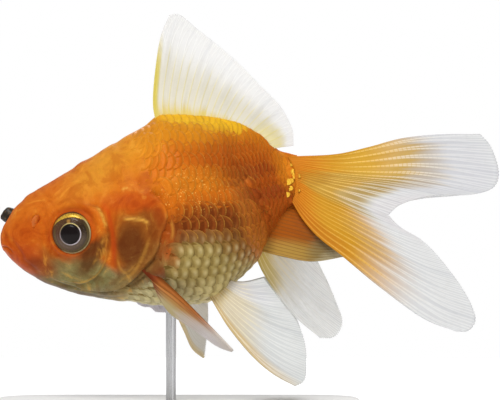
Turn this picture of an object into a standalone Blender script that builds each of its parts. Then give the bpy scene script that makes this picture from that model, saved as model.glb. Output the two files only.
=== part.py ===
"""A fancy goldfish (fantail type), life size, swimming head down on a plain display stand.

The body is one loft over its length, parted by thin cuts into head, lower jaw, trunk and tail stalk.
Every place on the fish is given in the fish's own frame, in millimetres: s runs back from the snout
along the body's axis, h runs up, and y is to the right, so the left flank is at -y. The fish faces -X
and is pitched head down over the foot of its stand, which stands at the origin.
"""
import math

import bmesh
import bpy
import numpy as np

MM = 0.001
GAP = 0.3  # clearance between neighbouring pieces
PITCH = math.radians(12.0)  # how far the body's axis points down towards the snout
SNOUT_X = -44.0  # the snout's place, from the middle of the stand's foot
SNOUT_Z = 45.0

# The body: outline of the back and of the belly, (s, h)
BACK = ((0.0, 0.1), (0.35, 2.1), (1.2, 3.8), (3.0, 5.75), (4.8, 7.8), (7.7, 9.5), (10.8, 11.1),
        (14.9, 12.5), (21.1, 14.6), (26.1, 16.4), (31.0, 18.2), (36.0, 20.1), (40.6, 21.5),
        (45.5, 22.8), (49.5, 22.2), (53.8, 21.0), (60.3, 18.8), (64.1, 17.0), (67.7, 14.2),
        (70.7, 11.0), (73.1, 8.6), (77.6, 6.0))
BELLY = ((0.0, -0.1), (0.35, -1.6), (1.0, -3.0), (2.6, -5.6), (4.5, -7.9), (6.5, -9.8), (9.1, -12.0),
         (12.3, -13.9), (15.2, -15.7), (20.9, -18.2), (23.7, -19.3), (29.6, -21.3), (36.0, -23.3),
         (42.2, -24.4), (47.6, -24.7), (51.5, -23.5), (54.7, -21.6), (59.9, -18.6), (62.5, -16.4),
         (64.5, -14.0), (67.5, -10.9), (70.5, -8.1), (73.5, -5.9), (77.6, -3.6))
# Height of the widest line, and half the width there, (s, value)
WIDEST = ((0.0, 0.0), (3.0, -0.9), (10.0, -2.4), (18.0, -3.0), (30.0, -4.6), (45.0, -7.2),
          (55.0, -6.8), (61.0, -4.6), (66.0, -1.2), (71.0, 0.8), (77.6, 1.2))
HALF_WIDTH = ((0.0, 0.3), (0.35, 2.1), (1.2, 3.5), (3.0, 5.0), (6.0, 7.0), (10.0, 9.1), (14.0, 10.7),
              (18.0, 11.9), (24.0, 13.2), (30.0, 14.3), (36.0, 15.2), (42.0, 15.9), (48.0, 16.1),
              (54.0, 15.3), (58.0, 14.1), (61.0, 12.5), (63.0, 10.9), (64.8, 8.9), (66.6, 7.2),
              (69.0, 5.9), (71.5, 4.9), (74.2, 3.8), (77.6, 2.3))
BACK_ROUNDNESS = 1.75  # superellipse exponents of the section above and below its widest line
BELLY_ROUNDNESS = 2.2
RIM_HEIGHT = -9.8  # where the rear rim of the belly reaches furthest back
RIM_BEND = 0.021  # how fast the rim turns forward above and below that height, per mm
RIM_MOST = 3.6
BODY_END = 77.0
RING_POINTS = 26
CUT_REACH = 40.0  # how far a parting cut reaches past the back, the belly and the flanks

EYE_PLACE = (18.4, -1.2)
EYE_RADIUS = 5.6
EYE_RING = 4.95  # radius where the eyeball leaves the lids
EYE_TURN = math.radians(14.0)  # how far each eye looks forward, along the taper of the head
EYE_FLATNESS = 0.72
CORNEA_BULGE = 0.2
NECK_LINE = ((24.5, 24.0), (26.5, 17.0), (31.0, 11.0), (37.0, 6.0), (38.6, 0.0), (37.4, -6.0),
             (34.4, -11.5), (30.2, -16.5), (27.5, -22.0), (26.5, -28.0))
STALK_LINE = ((73.5, 16.0), (71.8, 6.0), (68.5, -4.0), (65.2, -14.0), (63.0, -22.0))
JAW_LINE = ((-3.0, -0.8), (1.6, -1.2), (3.7, -4.2), (8.2, -8.3), (10.4, -17.0))

FIN_ROOT = 1.5  # thickness of a fin where it leaves the body, and at its margin
FIN_EDGE = 0.56

STAND_LENGTH = 92.0
STAND_WIDTH = 58.0
STAND_HEIGHT = 6.0
STAND_CORNER = 14.0
STAND_BEVEL = 1.0
CORNER_STEPS = 6
ROD_DIAMETER = 2.5
ROD_X = -1.5
ROD_IN_BASE = 3.5
ROD_IN_BELLY = 6.0
BELLY_OVER_ROD = -23.7  # height h of the belly's outline straight above the rod


def place(s, h, y=0.0):
    """A point of the fish's own frame as world coordinates, in metres."""
    x = SNOUT_X + s * math.cos(PITCH) - h * math.sin(PITCH)
    z = SNOUT_Z + s * math.sin(PITCH) + h * math.cos(PITCH)
    return (x * MM, y * MM, z * MM)


def between(table, value):
    """A smooth curve through a table of (position, value), drawn over the root of the position."""
    at = np.sqrt([row[0] for row in table])
    of = np.array([row[1] for row in table])
    slope = np.gradient(of, at)
    x = math.sqrt(min(max(value, 0.0), table[-1][0]))
    i = min(max(int(np.searchsorted(at, x)) - 1, 0), len(at) - 2)
    step = at[i + 1] - at[i]
    t = (x - at[i]) / step
    start = (2 * t**3 - 3 * t**2 + 1) * of[i] + (t**3 - 2 * t**2 + t) * step * slope[i]
    end = (3 * t**2 - 2 * t**3) * of[i + 1] + (t**3 - t**2) * step * slope[i + 1]
    return float(start + end)


def rim_lean(h):
    return min(RIM_BEND * (h - RIM_HEIGHT) ** 2, RIM_MOST)


def half_width(s, h, grow=0.0):
    """Half the body's width at a place in its outline; grow makes the whole body that much fatter."""
    top = between(BACK, s) + grow
    bottom = between(BELLY, s) - grow
    widest = between(WIDEST, s)
    power = BACK_ROUNDNESS if h > widest else BELLY_ROUNDNESS
    reach = (h - widest) / ((top - widest) if h > widest else (widest - bottom))
    full = between(HALF_WIDTH, s + rim_lean(h) * min(1.0, s / 50.0) ** 3) + grow
    return full * max(1.0 - min(abs(reach), 1.0) ** power, 0.0) ** (1.0 / power)


def ring_places():
    """Where the loft's rings lie: close together round the snout and behind the belly."""
    snout = [0.3 * i**1.75 for i in range(1, 8)]
    flank = list(np.linspace(12.2, 57.5, 19))
    rump = list(np.linspace(59.0, 70.0, 10))
    stalk = [72.2, 74.4, 76.0, BODY_END]
    return snout + flank + rump + stalk


def new_mesh_object(name, points, faces, material=None):
    mesh = bpy.data.meshes.new(name)
    mesh.from_pydata(points, [], faces)
    mesh.validate()
    shape = bmesh.new()
    shape.from_mesh(mesh)
    bmesh.ops.remove_doubles(shape, verts=shape.verts, dist=1e-7)
    bmesh.ops.recalc_face_normals(shape, faces=shape.faces)
    shape.to_mesh(mesh)
    shape.free()
    made = bpy.data.objects.new(name, mesh)
    bpy.context.scene.collection.objects.link(made)
    if material:
        mesh.materials.append(material)
        mesh.shade_smooth()
        mesh.set_sharp_from_angle(angle=math.radians(50))
    return made


def helper(made):
    """Marks an object as a cutter: it stays out of the model."""
    made.hide_render = True
    made.display_type = "WIRE"
    return made


def finish(name, colour, roughness, metallic=0.0):
    material = bpy.data.materials.new(name)
    material.use_nodes = True
    shader = material.node_tree.nodes["Principled BSDF"]
    shader.inputs["Base Color"].default_value = (*colour, 1.0)
    shader.inputs["Roughness"].default_value = roughness
    shader.inputs["Metallic"].default_value = metallic
    return material


def wall_faces(first, rings, count):
    """The faces between neighbouring rings of count points each, from the point numbered first."""
    faces = []
    for i in range(rings - 1):
        start = first + i * count
        for k in range(count):
            after = (k + 1) % count
            faces.append((start + k, start + count + k, start + count + after, start + after))
    return faces


def body_loft(name, grow=0.0, material=None):
    """The whole body as one closed skin, fatter by grow on every side."""
    rings = ring_places()
    tip = -grow
    points = [place(tip, 0.0)]
    for s in rings:
        top = between(BACK, s) + grow
        bottom = between(BELLY, s) - grow
        widest = between(WIDEST, s)
        for k in range(RING_POINTS):
            turn = 2.0 * math.pi * (k + 0.5) / RING_POINTS
            rise = math.cos(turn)
            h = widest + (top - widest) * rise if rise > 0 else widest + (widest - bottom) * rise
            side = 1.0 if turn < math.pi else -1.0
            back_shift = grow if s == BODY_END else 0.0
            points.append(place(s + back_shift, h, side * half_width(s, h, grow)))
    faces = [(0, 1 + k, 1 + (k + 1) % RING_POINTS) for k in range(RING_POINTS)]
    faces += wall_faces(1, len(rings), RING_POINTS)
    last = 1 + (len(rings) - 1) * RING_POINTS
    faces.append(tuple(last + k for k in range(RING_POINTS)))
    return new_mesh_object(name, points, faces, material)


def prism(name, outline):
    """A cutter with a closed (s, h) outline, right through the body."""
    count = len(outline)
    points = [place(s, h, y) for y in (-CUT_REACH, CUT_REACH) for s, h in outline]
    faces = [tuple(range(count)), tuple(range(count, 2 * count))]
    faces += [(k, (k + 1) % count, count + (k + 1) % count, count + k) for k in range(count)]
    return helper(new_mesh_object(name, points, faces))


def in_front_of(line, shift=0.0):
    """Outline of all that lies in front of a line drawn from the back to the belly."""
    above = [(-CUT_REACH, CUT_REACH), (line[0][0] + shift, CUT_REACH)]
    below = [(line[-1][0] + shift, -CUT_REACH), (-CUT_REACH, -CUT_REACH)]
    return above + [(s + shift, h) for s, h in line] + below


def boolean(piece, cutter, operation):
    cut = piece.modifiers.new(operation.lower() + "_" + cutter.name, "BOOLEAN")
    cut.operation = operation
    cut.object = cutter
    cut.solver = "EXACT"


def spline(points, count):
    """Evenly spaced points along a smooth curve through the given ones."""
    knots = np.array(points, float)
    if len(knots) == 2:
        return np.array([knots[0] + (knots[1] - knots[0]) * t for t in np.linspace(0, 1, count)])
    steps = np.sqrt(np.linalg.norm(np.diff(knots, axis=0), axis=1))
    at = np.concatenate([[0.0], np.cumsum(steps)])
    slope = np.array([np.gradient(knots[:, axis], at) for axis in range(knots.shape[1])]).T
    fine = []
    for i in range(len(knots) - 1):
        step = at[i + 1] - at[i]
        for t in np.linspace(0, 1, 13)[(0 if i == 0 else 1):]:
            fine.append((2 * t**3 - 3 * t**2 + 1) * knots[i] + (t**3 - 2 * t**2 + t) * step * slope[i]
                        + (3 * t**2 - 2 * t**3) * knots[i + 1] + (t**3 - t**2) * step * slope[i + 1])
    fine = np.array(fine)
    along = np.concatenate([[0.0], np.cumsum(np.linalg.norm(np.diff(fine, axis=0), axis=1))])
    want = np.linspace(0.0, along[-1], count)
    return np.array([np.interp(want, along, fine[:, axis]) for axis in range(fine.shape[1])]).T


def patch(root, margin, lead, trail, across, outward):
    """Points of a sheet spanned by its four edges, [from root to margin][from lead to trail]."""
    root = spline(root, across)
    margin = spline(margin, across)
    lead = spline(lead, outward)
    trail = spline(trail, outward)
    grid = np.zeros((outward, across, root.shape[1]))
    for j, v in enumerate(np.linspace(0, 1, outward)):
        for i, u in enumerate(np.linspace(0, 1, across)):
            corners = ((1 - u) * (1 - v) * root[0] + u * (1 - v) * root[-1]
                       + (1 - u) * v * margin[0] + u * v * margin[-1])
            grid[j, i] = (1 - v) * root[i] + v * margin[i] + (1 - u) * lead[j] + u * trail[j] - corners
    return grid


def two_layer_faces(outward, across):
    """The faces of a closed sheet whose points are one grid after the other, joined round the edge."""
    layer = outward * across
    faces = []
    for j in range(outward - 1):
        for i in range(across - 1):
            corner = j * across + i
            square = (corner, corner + 1, corner + across + 1, corner + across)
            faces.append(square)
            faces.append(tuple(layer + k for k in reversed(square)))
    edge = list(range(across)) + [j * across + across - 1 for j in range(1, outward)]
    edge += [(outward - 1) * across + i for i in reversed(range(across - 1))]
    edge += [j * across for j in reversed(range(1, outward - 1))]
    for k, corner in enumerate(edge):
        after = edge[(k + 1) % len(edge)]
        faces.append((corner, after, layer + after, layer + corner))
    return faces


def thick_sheet(name, grid, material, thickness):
    """A closed sheet round a grid of points, thickness(v) through from root to margin."""
    outward, across = grid.shape[:2]
    along = np.gradient(grid, axis=0)
    sideways = np.gradient(grid, axis=1)
    normal = np.cross(along, sideways)
    normal /= np.linalg.norm(normal, axis=2, keepdims=True)
    points = []
    for side in (0.5, -0.5):
        for j in range(outward):
            half = side * thickness(j / (outward - 1))
            points += [place(*(grid[j, i] + normal[j, i] * half)) for i in range(across)]
    return new_mesh_object(name, points, two_layer_faces(outward, across), material)


def fin_thickness(v):
    return FIN_EDGE + (FIN_ROOT - FIN_EDGE) * (1.0 - v) ** 2


def mirrored(points):
    return [(s, h, -y) for s, h, y in points]


def fin(name, edges, across, outward, material, right=False):
    """A single fin from its root, margin, leading and trailing edges."""
    if right:
        edges = [mirrored(edge) for edge in edges]
    return thick_sheet(name, patch(*edges, across, outward), material, fin_thickness)


# Fins: root, margin, leading edge, trailing edge; each a few points (s, h, y) of the left fin
DORSAL = (
    ((44.2, 21.2, 0), (52.0, 20.3, 0), (60.5, 17.2, 0), (66.5, 13.4, 0), (70.9, 9.2, 0)),
    ((53.0, 47.2, 0.3), (55.2, 47.1, 0.5), (59.4, 42.2, 0.9), (66.3, 33.6, 0.5), (71.6, 25.4, -0.4),
     (75.6, 18.8, -0.9), (77.2, 12.6, -0.6), (76.6, 8.8, -0.3)),
    ((44.2, 21.2, 0), (44.4, 26.2, 0), (47.3, 36.1, 0.2), (50.1, 43.0, 0.3), (53.0, 47.2, 0.3)),
    ((70.9, 9.2, 0), (73.4, 9.1, -0.1), (76.6, 8.8, -0.3)),
)
PECTORAL_LEFT = (
    ((34.4, -12.2, -13.0), (36.6, -19.4, -8.8)),
    ((51.7, -37.4, -22.5), (51.0, -37.6, -21.0), (49.2, -36.7, -18.6), (46.9, -34.6, -16.2)),
    ((34.4, -12.2, -13.0), (36.8, -16.6, -14.6), (40.4, -21.0, -16.8), (46.5, -29.5, -20.3),
     (51.7, -37.4, -22.5)),
    ((36.6, -19.4, -8.8), (38.2, -25.2, -10.4), (42.7, -30.1, -13.4), (46.9, -34.6, -16.2)),
)
PECTORAL_RIGHT = (
    ((34.6, -12.4, 13.0), (38.4, -18.6, 9.4)),
    ((43.4, -39.6, 22.0), (45.1, -34.5, 20.2), (46.5, -29.8, 17.6), (47.4, -25.2, 15.0)),
    ((34.6, -12.4, 13.0), (38.0, -23.4, 16.6), (39.7, -31.2, 19.6), (40.9, -36.5, 21.4),
     (43.4, -39.6, 22.0)),
    ((38.4, -18.6, 9.4), (43.4, -20.6, 12.4), (47.4, -25.2, 15.0)),
)
PELVIC = (
    ((48.2, -22.8, -5.2), (53.8, -20.6, -5.8)),
    ((64.6, -49.0, -20.8), (67.2, -48.3, -20.8), (69.0, -40.4, -18.8), (68.5, -34.1, -16.4),
     (65.6, -28.3, -13.4), (62.7, -21.8, -11.0)),
    ((48.2, -22.8, -5.2), (51.2, -31.4, -10.8), (56.3, -40.7, -16.2), (60.0, -45.2, -18.6),
     (64.6, -49.0, -20.8)),
    ((53.8, -20.6, -5.8), (57.2, -21.9, -8.6), (62.7, -21.8, -11.0)),
)
ANAL_LEFT = (
    ((62.4, -14.8, -1.7), (66.4, -10.8, -1.8), (69.6, -7.6, -1.3), (72.4, -5.2, -0.2)),
    ((83.6, -20.8, -6.4), (87.2, -18.6, -6.6), (88.6, -15.4, -6.2), (86.4, -12.4, -5.2)),
    ((62.4, -14.8, -1.7), (67.7, -17.4, -3.0), (75.0, -20.3, -4.8), (83.6, -20.8, -6.4)),
    ((72.4, -5.2, -0.2), (75.0, -6.6, -0.3), (79.0, -9.2, -1.8), (86.4, -12.4, -5.2)),
)
ANAL_RIGHT = (
    ((61.6, -15.4, 1.8), (65.4, -11.6, 1.8), (69.2, -8.0, 1.6)),
    ((73.4, -40.2, 11.0), (76.9, -40.5, 11.4), (79.7, -37.4, 11.0), (79.2, -32.0, 9.4),
     (78.1, -26.4, 7.4), (76.7, -20.9, 5.6)),
    ((61.6, -15.4, 1.8), (62.6, -20.8, 3.8), (64.7, -26.3, 6.0), (68.1, -33.3, 8.6),
     (73.4, -40.2, 11.0)),
    ((69.2, -8.0, 1.6), (73.2, -14.2, 3.2), (76.7, -20.9, 5.6)),
)
TAIL_ROOT = ((74.6, 6.3, -0.95), (75.6, 3.0, -1.7), (75.2, -1.0, -1.8), (73.4, -4.4, -1.5))
TAIL_TOP = ((74.6, 6.3, -0.95), (79.9, 5.4, -1.6), (87.2, 4.4, -3.0), (94.8, 4.5, -4.6),
            (103.0, 4.9, -6.6), (111.6, 4.0, -8.4), (122.4, 1.8, -10.4))
TAIL_TOP_MARGIN = ((122.4, 1.8, -10.4), (124.2, -1.6, -11.6), (124.6, -8.6, -13.2),
                   (122.8, -11.4, -13.8), (117.6, -12.2, -13.8), (106.2, -10.7, -12.6),
                   (98.9, -11.2, -11.9), (95.7, -12.9, -11.9))
TAIL_LOW_MARGIN = ((95.7, -12.9, -11.9), (97.5, -15.9, -12.8), (102.6, -20.7, -15.4),
                   (107.4, -29.0, -19.2), (110.6, -37.5, -22.6), (110.9, -42.3, -24.0),
                   (108.8, -44.4, -24.0), (105.9, -44.1, -23.4))
TAIL_LOW = ((73.4, -4.4, -1.5), (74.9, -9.3, -3.6), (77.6, -14.4, -6.2), (83.0, -20.9, -10.4),
            (90.7, -30.6, -16.2), (99.2, -39.8, -21.0), (105.9, -44.1, -23.4))
TAIL_FORK_RAY = ((75.4, 0.8, -1.8), (84.7, -5.6, -6.4), (95.7, -12.9, -11.9))
BREAST_FOLD = (
    ((29.4, -20.2, 0.8), (34.0, -21.6, 0.8), (38.2, -22.6, 0.8)),
    ((30.4, -22.1, 1.6), (33.2, -23.6, 2.4), (35.6, -25.4, 3.2), (37.2, -25.2, 3.2), (38.0, -23.6, 2.2)),
    ((29.4, -20.2, 0.8), (30.4, -22.1, 1.6)),
    ((38.2, -22.6, 0.8), (38.0, -23.6, 2.2)),
)
# Gill cover: front, rear, upper and lower edge on the flank, (s, h)
GILL_FRONT = ((28.4, 4.6), (29.2, 0.0), (29.0, -6.0), (27.4, -11.0), (24.4, -15.0))
GILL_REAR = ((39.4, 5.0), (42.2, 1.4), (42.0, -2.4), (40.2, -6.2), (37.7, -10.3), (34.2, -13.2),
             (30.4, -15.7), (26.4, -16.9))
GILL_TOP = ((28.4, 4.6), (34.0, 5.6), (39.4, 5.0))
GILL_LOW = ((24.4, -15.0), (26.4, -16.9))
GILL_PROUD = 0.45  # how far the gill cover stands out of the flank, and how deep it is let in
GILL_DEEP = 1.0
POCKET_PROUD = 3.0


def gill_plate(name, material, side, proud, deep, grow=0.0):
    """A plate that follows the flank between two depths; grow widens it all round, for its pocket."""
    grid = patch(GILL_TOP, GILL_LOW, GILL_FRONT, GILL_REAR, 7, 9)
    middle = grid.reshape(-1, 2).mean(axis=0)
    points = []
    for depth in (proud, -deep):
        for row in grid:
            for spot in row:
                away = spot - middle
                spot = spot + away / np.linalg.norm(away) * grow
                points.append(place(spot[0], spot[1], side * (half_width(*spot) + depth)))
    return new_mesh_object(name, points, two_layer_faces(*grid.shape[:2]), material)


def turned(name, profile, segments, material, turn_to_place):
    """A closed solid of revolution; profile holds (radius, depth) from pole to pole."""
    points = [turn_to_place(0.0, profile[0][1], 0.0)]
    for radius, depth in profile[1:-1]:
        for k in range(segments):
            points.append(turn_to_place(radius, depth, 2 * math.pi * k / segments))
    points.append(turn_to_place(0.0, profile[-1][1], 0.0))
    rows = len(profile) - 2
    faces = [(0, 1 + k, 1 + (k + 1) % segments) for k in range(segments)]
    faces += wall_faces(1, rows, segments)
    last = 1 + (rows - 1) * segments
    faces += [(last + k, len(points) - 1, last + (k + 1) % segments) for k in range(segments)]
    return new_mesh_object(name, points, faces, material)


def eyeball(name, side, material, grow=0.0, segments=18):
    """A globe a little flatter than a sphere, with the clear bulge of the cornea in front."""
    radius = EYE_RADIUS + grow
    sunk = EYE_FLATNESS * math.sqrt(EYE_RADIUS**2 - EYE_RING**2)  # from the skin in to the globe's middle
    forward = math.sin(EYE_TURN)
    outward = math.cos(EYE_TURN)
    surface = half_width(*EYE_PLACE)
    profile = []
    for i in range(9):
        turn = math.pi * i / 8
        bulge = CORNEA_BULGE * max(0.0, math.cos(turn)) ** 6
        profile.append((radius * math.sin(turn), (radius * EYE_FLATNESS + bulge) * math.cos(turn)))

    def spot(across, depth, turn):
        back = across * math.cos(turn)
        out = depth - sunk
        return place(EYE_PLACE[0] + back * outward - out * forward, EYE_PLACE[1] + across * math.sin(turn),
                     side * (surface + back * forward + out * outward))

    return turned(name, profile, segments, material, spot)


def nostril_flap(name, root, tip, width, thickness, side, material, taper=0.0):
    """A small soft lobe from a root to a tip, (s, h, y) of both."""
    root = np.array(root, float)
    tip = np.array(tip, float)
    along = (tip - root) / np.linalg.norm(tip - root)
    flat = np.cross(along, (0.0, 0.0, 1.0))
    flat /= np.linalg.norm(flat)
    through = np.cross(along, flat)
    points = []
    sizes = ((0.0, 1.0), (0.35, 1.0), (0.7, 1.12), (0.92, 0.86), (1.0, 0.45))  # reach, share of the width
    count = 10
    for reach, share in sizes:
        share *= 1.0 + taper * (0.5 - reach)
        for k in range(count):
            turn = 2 * math.pi * k / count
            spot = root + (tip - root) * reach + flat * (0.5 * width * share * math.cos(turn))
            spot = spot + through * (0.5 * thickness * share * math.sin(turn))
            points.append(place(spot[0], spot[1], side * spot[2]))
    last = (len(sizes) - 1) * count
    faces = [tuple(range(count)), tuple(range(last, last + count))]
    faces += wall_faces(0, len(sizes), count)
    return new_mesh_object(name, points, faces, material)


def cylinder(name, diameter, low, high, segments=24, material=None):
    """An upright round bar about the rod's axis, between two heights in mm."""
    shape = bmesh.new()
    bmesh.ops.create_cone(shape, cap_ends=True, segments=segments, radius1=diameter * MM / 2,
                          radius2=diameter * MM / 2, depth=(high - low) * MM)
    mesh = bpy.data.meshes.new(name)
    shape.to_mesh(mesh)
    shape.free()
    made = bpy.data.objects.new(name, mesh)
    made.location = (ROD_X * MM, 0.0, (low + high) / 2 * MM)
    bpy.context.scene.collection.objects.link(made)
    if material:
        mesh.materials.append(material)
        mesh.shade_smooth()
        mesh.set_sharp_from_angle(angle=math.radians(50))
    return made


def display_stand(belly_height):
    """A flat rounded base with one upright rod, let into the base and into the belly."""
    base_finish = finish("pale_stand", (0.80, 0.80, 0.79), 0.45)
    rod_finish = finish("steel_rod", (0.62, 0.62, 0.63), 0.28, 1.0)
    points = []
    for quarter in range(4):
        middle_x = (STAND_LENGTH / 2 - STAND_CORNER) * (1, -1, -1, 1)[quarter]
        middle_y = (STAND_WIDTH / 2 - STAND_CORNER) * (1, 1, -1, -1)[quarter]
        for k in range(CORNER_STEPS + 1):
            turn = math.pi / 2 * (quarter + k / CORNER_STEPS)
            x = middle_x + STAND_CORNER * math.cos(turn)
            y = middle_y + STAND_CORNER * math.sin(turn)
            points.append((x, y))
    shape = bmesh.new()
    bottom = shape.faces.new([shape.verts.new((x * MM, y * MM, 0.0)) for x, y in points])
    bottom.normal_flip()
    lifted = bmesh.ops.extrude_face_region(shape, geom=[bottom])
    risen = [item for item in lifted["geom"] if isinstance(item, bmesh.types.BMVert)]
    bmesh.ops.translate(shape, verts=risen, vec=(0, 0, STAND_HEIGHT * MM))
    bmesh.ops.recalc_face_normals(shape, faces=shape.faces)
    mesh = bpy.data.meshes.new("stand_base")
    shape.to_mesh(mesh)
    shape.free()
    mesh.materials.append(base_finish)
    base = bpy.data.objects.new("stand_base", mesh)
    bpy.context.scene.collection.objects.link(base)
    bevel = base.modifiers.new("rounded_edges", "BEVEL")
    bevel.width = STAND_BEVEL * MM
    bevel.segments = 2
    bevel.limit_method = "ANGLE"
    socket = helper(cylinder("base_socket", ROD_DIAMETER + 2 * GAP, STAND_HEIGHT - ROD_IN_BASE - GAP,
                             STAND_HEIGHT + 5.0))
    boolean(base, socket, "DIFFERENCE")
    cylinder("stand_rod", ROD_DIAMETER, STAND_HEIGHT - ROD_IN_BASE, belly_height + ROD_IN_BELLY,
             material=rod_finish)
    return helper(cylinder("belly_socket", ROD_DIAMETER + 2 * GAP, belly_height - 6.0,
                           belly_height + ROD_IN_BELLY + GAP))


def flesh():
    """Head, lower jaw, trunk and tail stalk, cut from the one body, with the plates let into them."""
    orange = finish("orange_head", (0.72, 0.23, 0.03), 0.35)
    scaled = finish("orange_scales", (0.70, 0.27, 0.04), 0.32)
    jaw = finish("red_jaw", (0.60, 0.15, 0.03), 0.4)
    plate = finish("gill_plate", (0.45, 0.17, 0.04), 0.3)
    head = body_loft("head", material=orange)
    lower_jaw = body_loft("lower_jaw", material=jaw)
    trunk = body_loft("trunk", material=scaled)
    tail_stalk = body_loft("tail_stalk", material=scaled)
    head_front = prism("head_front", in_front_of(NECK_LINE))
    head_and_gap = prism("head_and_gap", in_front_of(NECK_LINE, GAP))
    jaw_outline = list(JAW_LINE) + [(-CUT_REACH, JAW_LINE[-1][1]), (-CUT_REACH, JAW_LINE[0][1])]
    jaw_front = prism("jaw_front", [(s, h - GAP / 2) for s, h in jaw_outline])
    jaw_and_gap = prism("jaw_and_gap", [(s + GAP / 2, h + GAP / 2) for s, h in jaw_outline])
    trunk_front = prism("trunk_front", in_front_of(STALK_LINE))
    trunk_and_gap = prism("trunk_and_gap", in_front_of(STALK_LINE, GAP))
    boolean(lower_jaw, jaw_front, "INTERSECT")
    boolean(head, head_front, "INTERSECT")
    boolean(head, jaw_and_gap, "DIFFERENCE")
    boolean(trunk, trunk_front, "INTERSECT")
    boolean(trunk, head_and_gap, "DIFFERENCE")
    boolean(tail_stalk, trunk_and_gap, "DIFFERENCE")
    for side, word in ((-1, "left"), (1, "right")):
        gill_plate("gill_cover_" + word, plate, side, GILL_PROUD, GILL_DEEP)
        pocket = gill_plate("gill_pocket_" + word, None, side, POCKET_PROUD, GILL_DEEP + GAP, GAP * 1.4)
        helper(pocket)
        boolean(head, pocket, "DIFFERENCE")
        boolean(trunk, pocket, "DIFFERENCE")
    return head, trunk


def eyes(head):
    black = finish("dark_eye", (0.03, 0.025, 0.02), 0.08)
    for side, word in ((-1, "left"), (1, "right")):
        eyeball("eye_" + word, side, black)
        socket = helper(eyeball("eye_socket_" + word, side, None, GAP * 1.15))
        boolean(head, socket, "DIFFERENCE")


def nostrils(head):
    """A small flap in front of the left eye, and a long dark one that stands up from the snout."""
    soft = finish("nostril_skin", (0.62, 0.2, 0.05), 0.4)
    dark = finish("dark_flap", (0.05, 0.04, 0.03), 0.5)
    left_y = half_width(10.4, 3.6)
    right_y = half_width(3.9, 5.2)
    nostril_flap("nostril_flap_left", (10.8, 3.3, left_y - 1.0), (9.2, 4.0, left_y + 0.9), 2.6, 0.9, -1,
                 soft)
    nostril_flap("nostril_flap_right", (4.9, 4.7, right_y - 0.4), (2.15, 8.0, right_y + 0.5), 3.3, 1.8, 1,
                 dark, 0.35)
    for word in ("left", "right"):
        flap = bpy.data.objects["nostril_flap_" + word]
        boolean(flap, bpy.data.objects["body_and_gap"], "DIFFERENCE")


def tail_grid(upper):
    """The left tail fin, divided along the ray that runs into its fork."""
    middle = TAIL_FORK_RAY
    if upper:
        edges = (TAIL_ROOT[:2] + middle[:1], TAIL_TOP_MARGIN, TAIL_TOP, middle)
        grid = patch(*edges, 9, 12)
        inward = grid[:, -2] - grid[:, -1]
        grid[:, -1] += inward / np.linalg.norm(inward, axis=1, keepdims=True) * GAP * 0.75
    else:
        edges = (middle[:1] + TAIL_ROOT[2:], TAIL_LOW_MARGIN, middle, TAIL_LOW)
        grid = patch(*edges, 9, 12)
        inward = grid[:, 1] - grid[:, 0]
        grid[:, 0] += inward / np.linalg.norm(inward, axis=1, keepdims=True) * GAP * 0.75
    return grid


def fins():
    white = finish("white_fin", (0.82, 0.80, 0.76), 0.3)
    golden = finish("golden_fin", (0.80, 0.52, 0.18), 0.3)
    clearance = bpy.data.objects["body_and_gap"]
    made = [fin("dorsal_fin", DORSAL, 15, 8, white)]
    made.append(fin("pectoral_fin_left", PECTORAL_LEFT, 6, 8, golden))
    made.append(fin("pectoral_fin_right", PECTORAL_RIGHT, 6, 8, golden))
    made.append(fin("anal_fin_left", ANAL_LEFT, 8, 7, golden))
    made.append(fin("anal_fin_right", ANAL_RIGHT, 8, 8, white))
    for right, word in ((False, "left"), (True, "right")):
        made.append(fin("pelvic_fin_" + word, PELVIC, 8, 8, white, right))
        for upper, part in ((True, "upper"), (False, "lower")):
            grid = tail_grid(upper)
            if right:
                grid = grid * (1.0, 1.0, -1.0)
            made.append(thick_sheet("tail_" + part + "_" + word, grid, golden, fin_thickness))
    made.append(thick_sheet("breast_fold", patch(*BREAST_FOLD, 7, 3), white, lambda v: FIN_EDGE))
    for piece in made:
        boolean(piece, clearance, "DIFFERENCE")


def main():
    for old in list(bpy.data.objects):
        bpy.data.objects.remove(old)
    helper(body_loft("body_and_gap", GAP))
    head, trunk = flesh()
    eyes(head)
    nostrils(head)
    fins()
    rod_s = (ROD_X - SNOUT_X + BELLY_OVER_ROD * math.sin(PITCH)) / math.cos(PITCH)
    belly_height = place(rod_s, BELLY_OVER_ROD)[2] / MM
    boolean(trunk, display_stand(belly_height), "DIFFERENCE")


main()
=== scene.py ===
import math

import bmesh
import bpy
import numpy as np
from mathutils import Matrix, Vector

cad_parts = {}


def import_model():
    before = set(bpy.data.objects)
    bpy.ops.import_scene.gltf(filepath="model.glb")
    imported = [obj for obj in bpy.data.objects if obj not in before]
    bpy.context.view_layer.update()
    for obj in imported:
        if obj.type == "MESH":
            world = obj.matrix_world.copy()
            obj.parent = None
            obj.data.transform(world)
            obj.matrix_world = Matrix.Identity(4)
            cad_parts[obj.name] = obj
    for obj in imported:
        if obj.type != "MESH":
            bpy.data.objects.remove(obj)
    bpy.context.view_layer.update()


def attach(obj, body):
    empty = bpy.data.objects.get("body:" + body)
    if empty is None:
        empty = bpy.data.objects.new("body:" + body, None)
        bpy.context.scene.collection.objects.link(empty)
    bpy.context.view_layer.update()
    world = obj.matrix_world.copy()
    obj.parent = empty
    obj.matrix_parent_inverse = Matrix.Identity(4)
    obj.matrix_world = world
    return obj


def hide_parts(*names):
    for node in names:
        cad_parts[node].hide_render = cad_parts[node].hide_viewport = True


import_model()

# A swimming fantail goldfish, life size, on a plain display stand. Places on the fish are given in
# its own frame, in millimetres: s runs back from the snout, h up and y to the right, so that the left
# flank is at -y. Its axis is pitched head down over the foot of the stand, which is at the origin.
MM = 0.001
PITCH = math.radians(12.0)
SNOUT_X = -44.0
SNOUT_Z = 45.0

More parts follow.
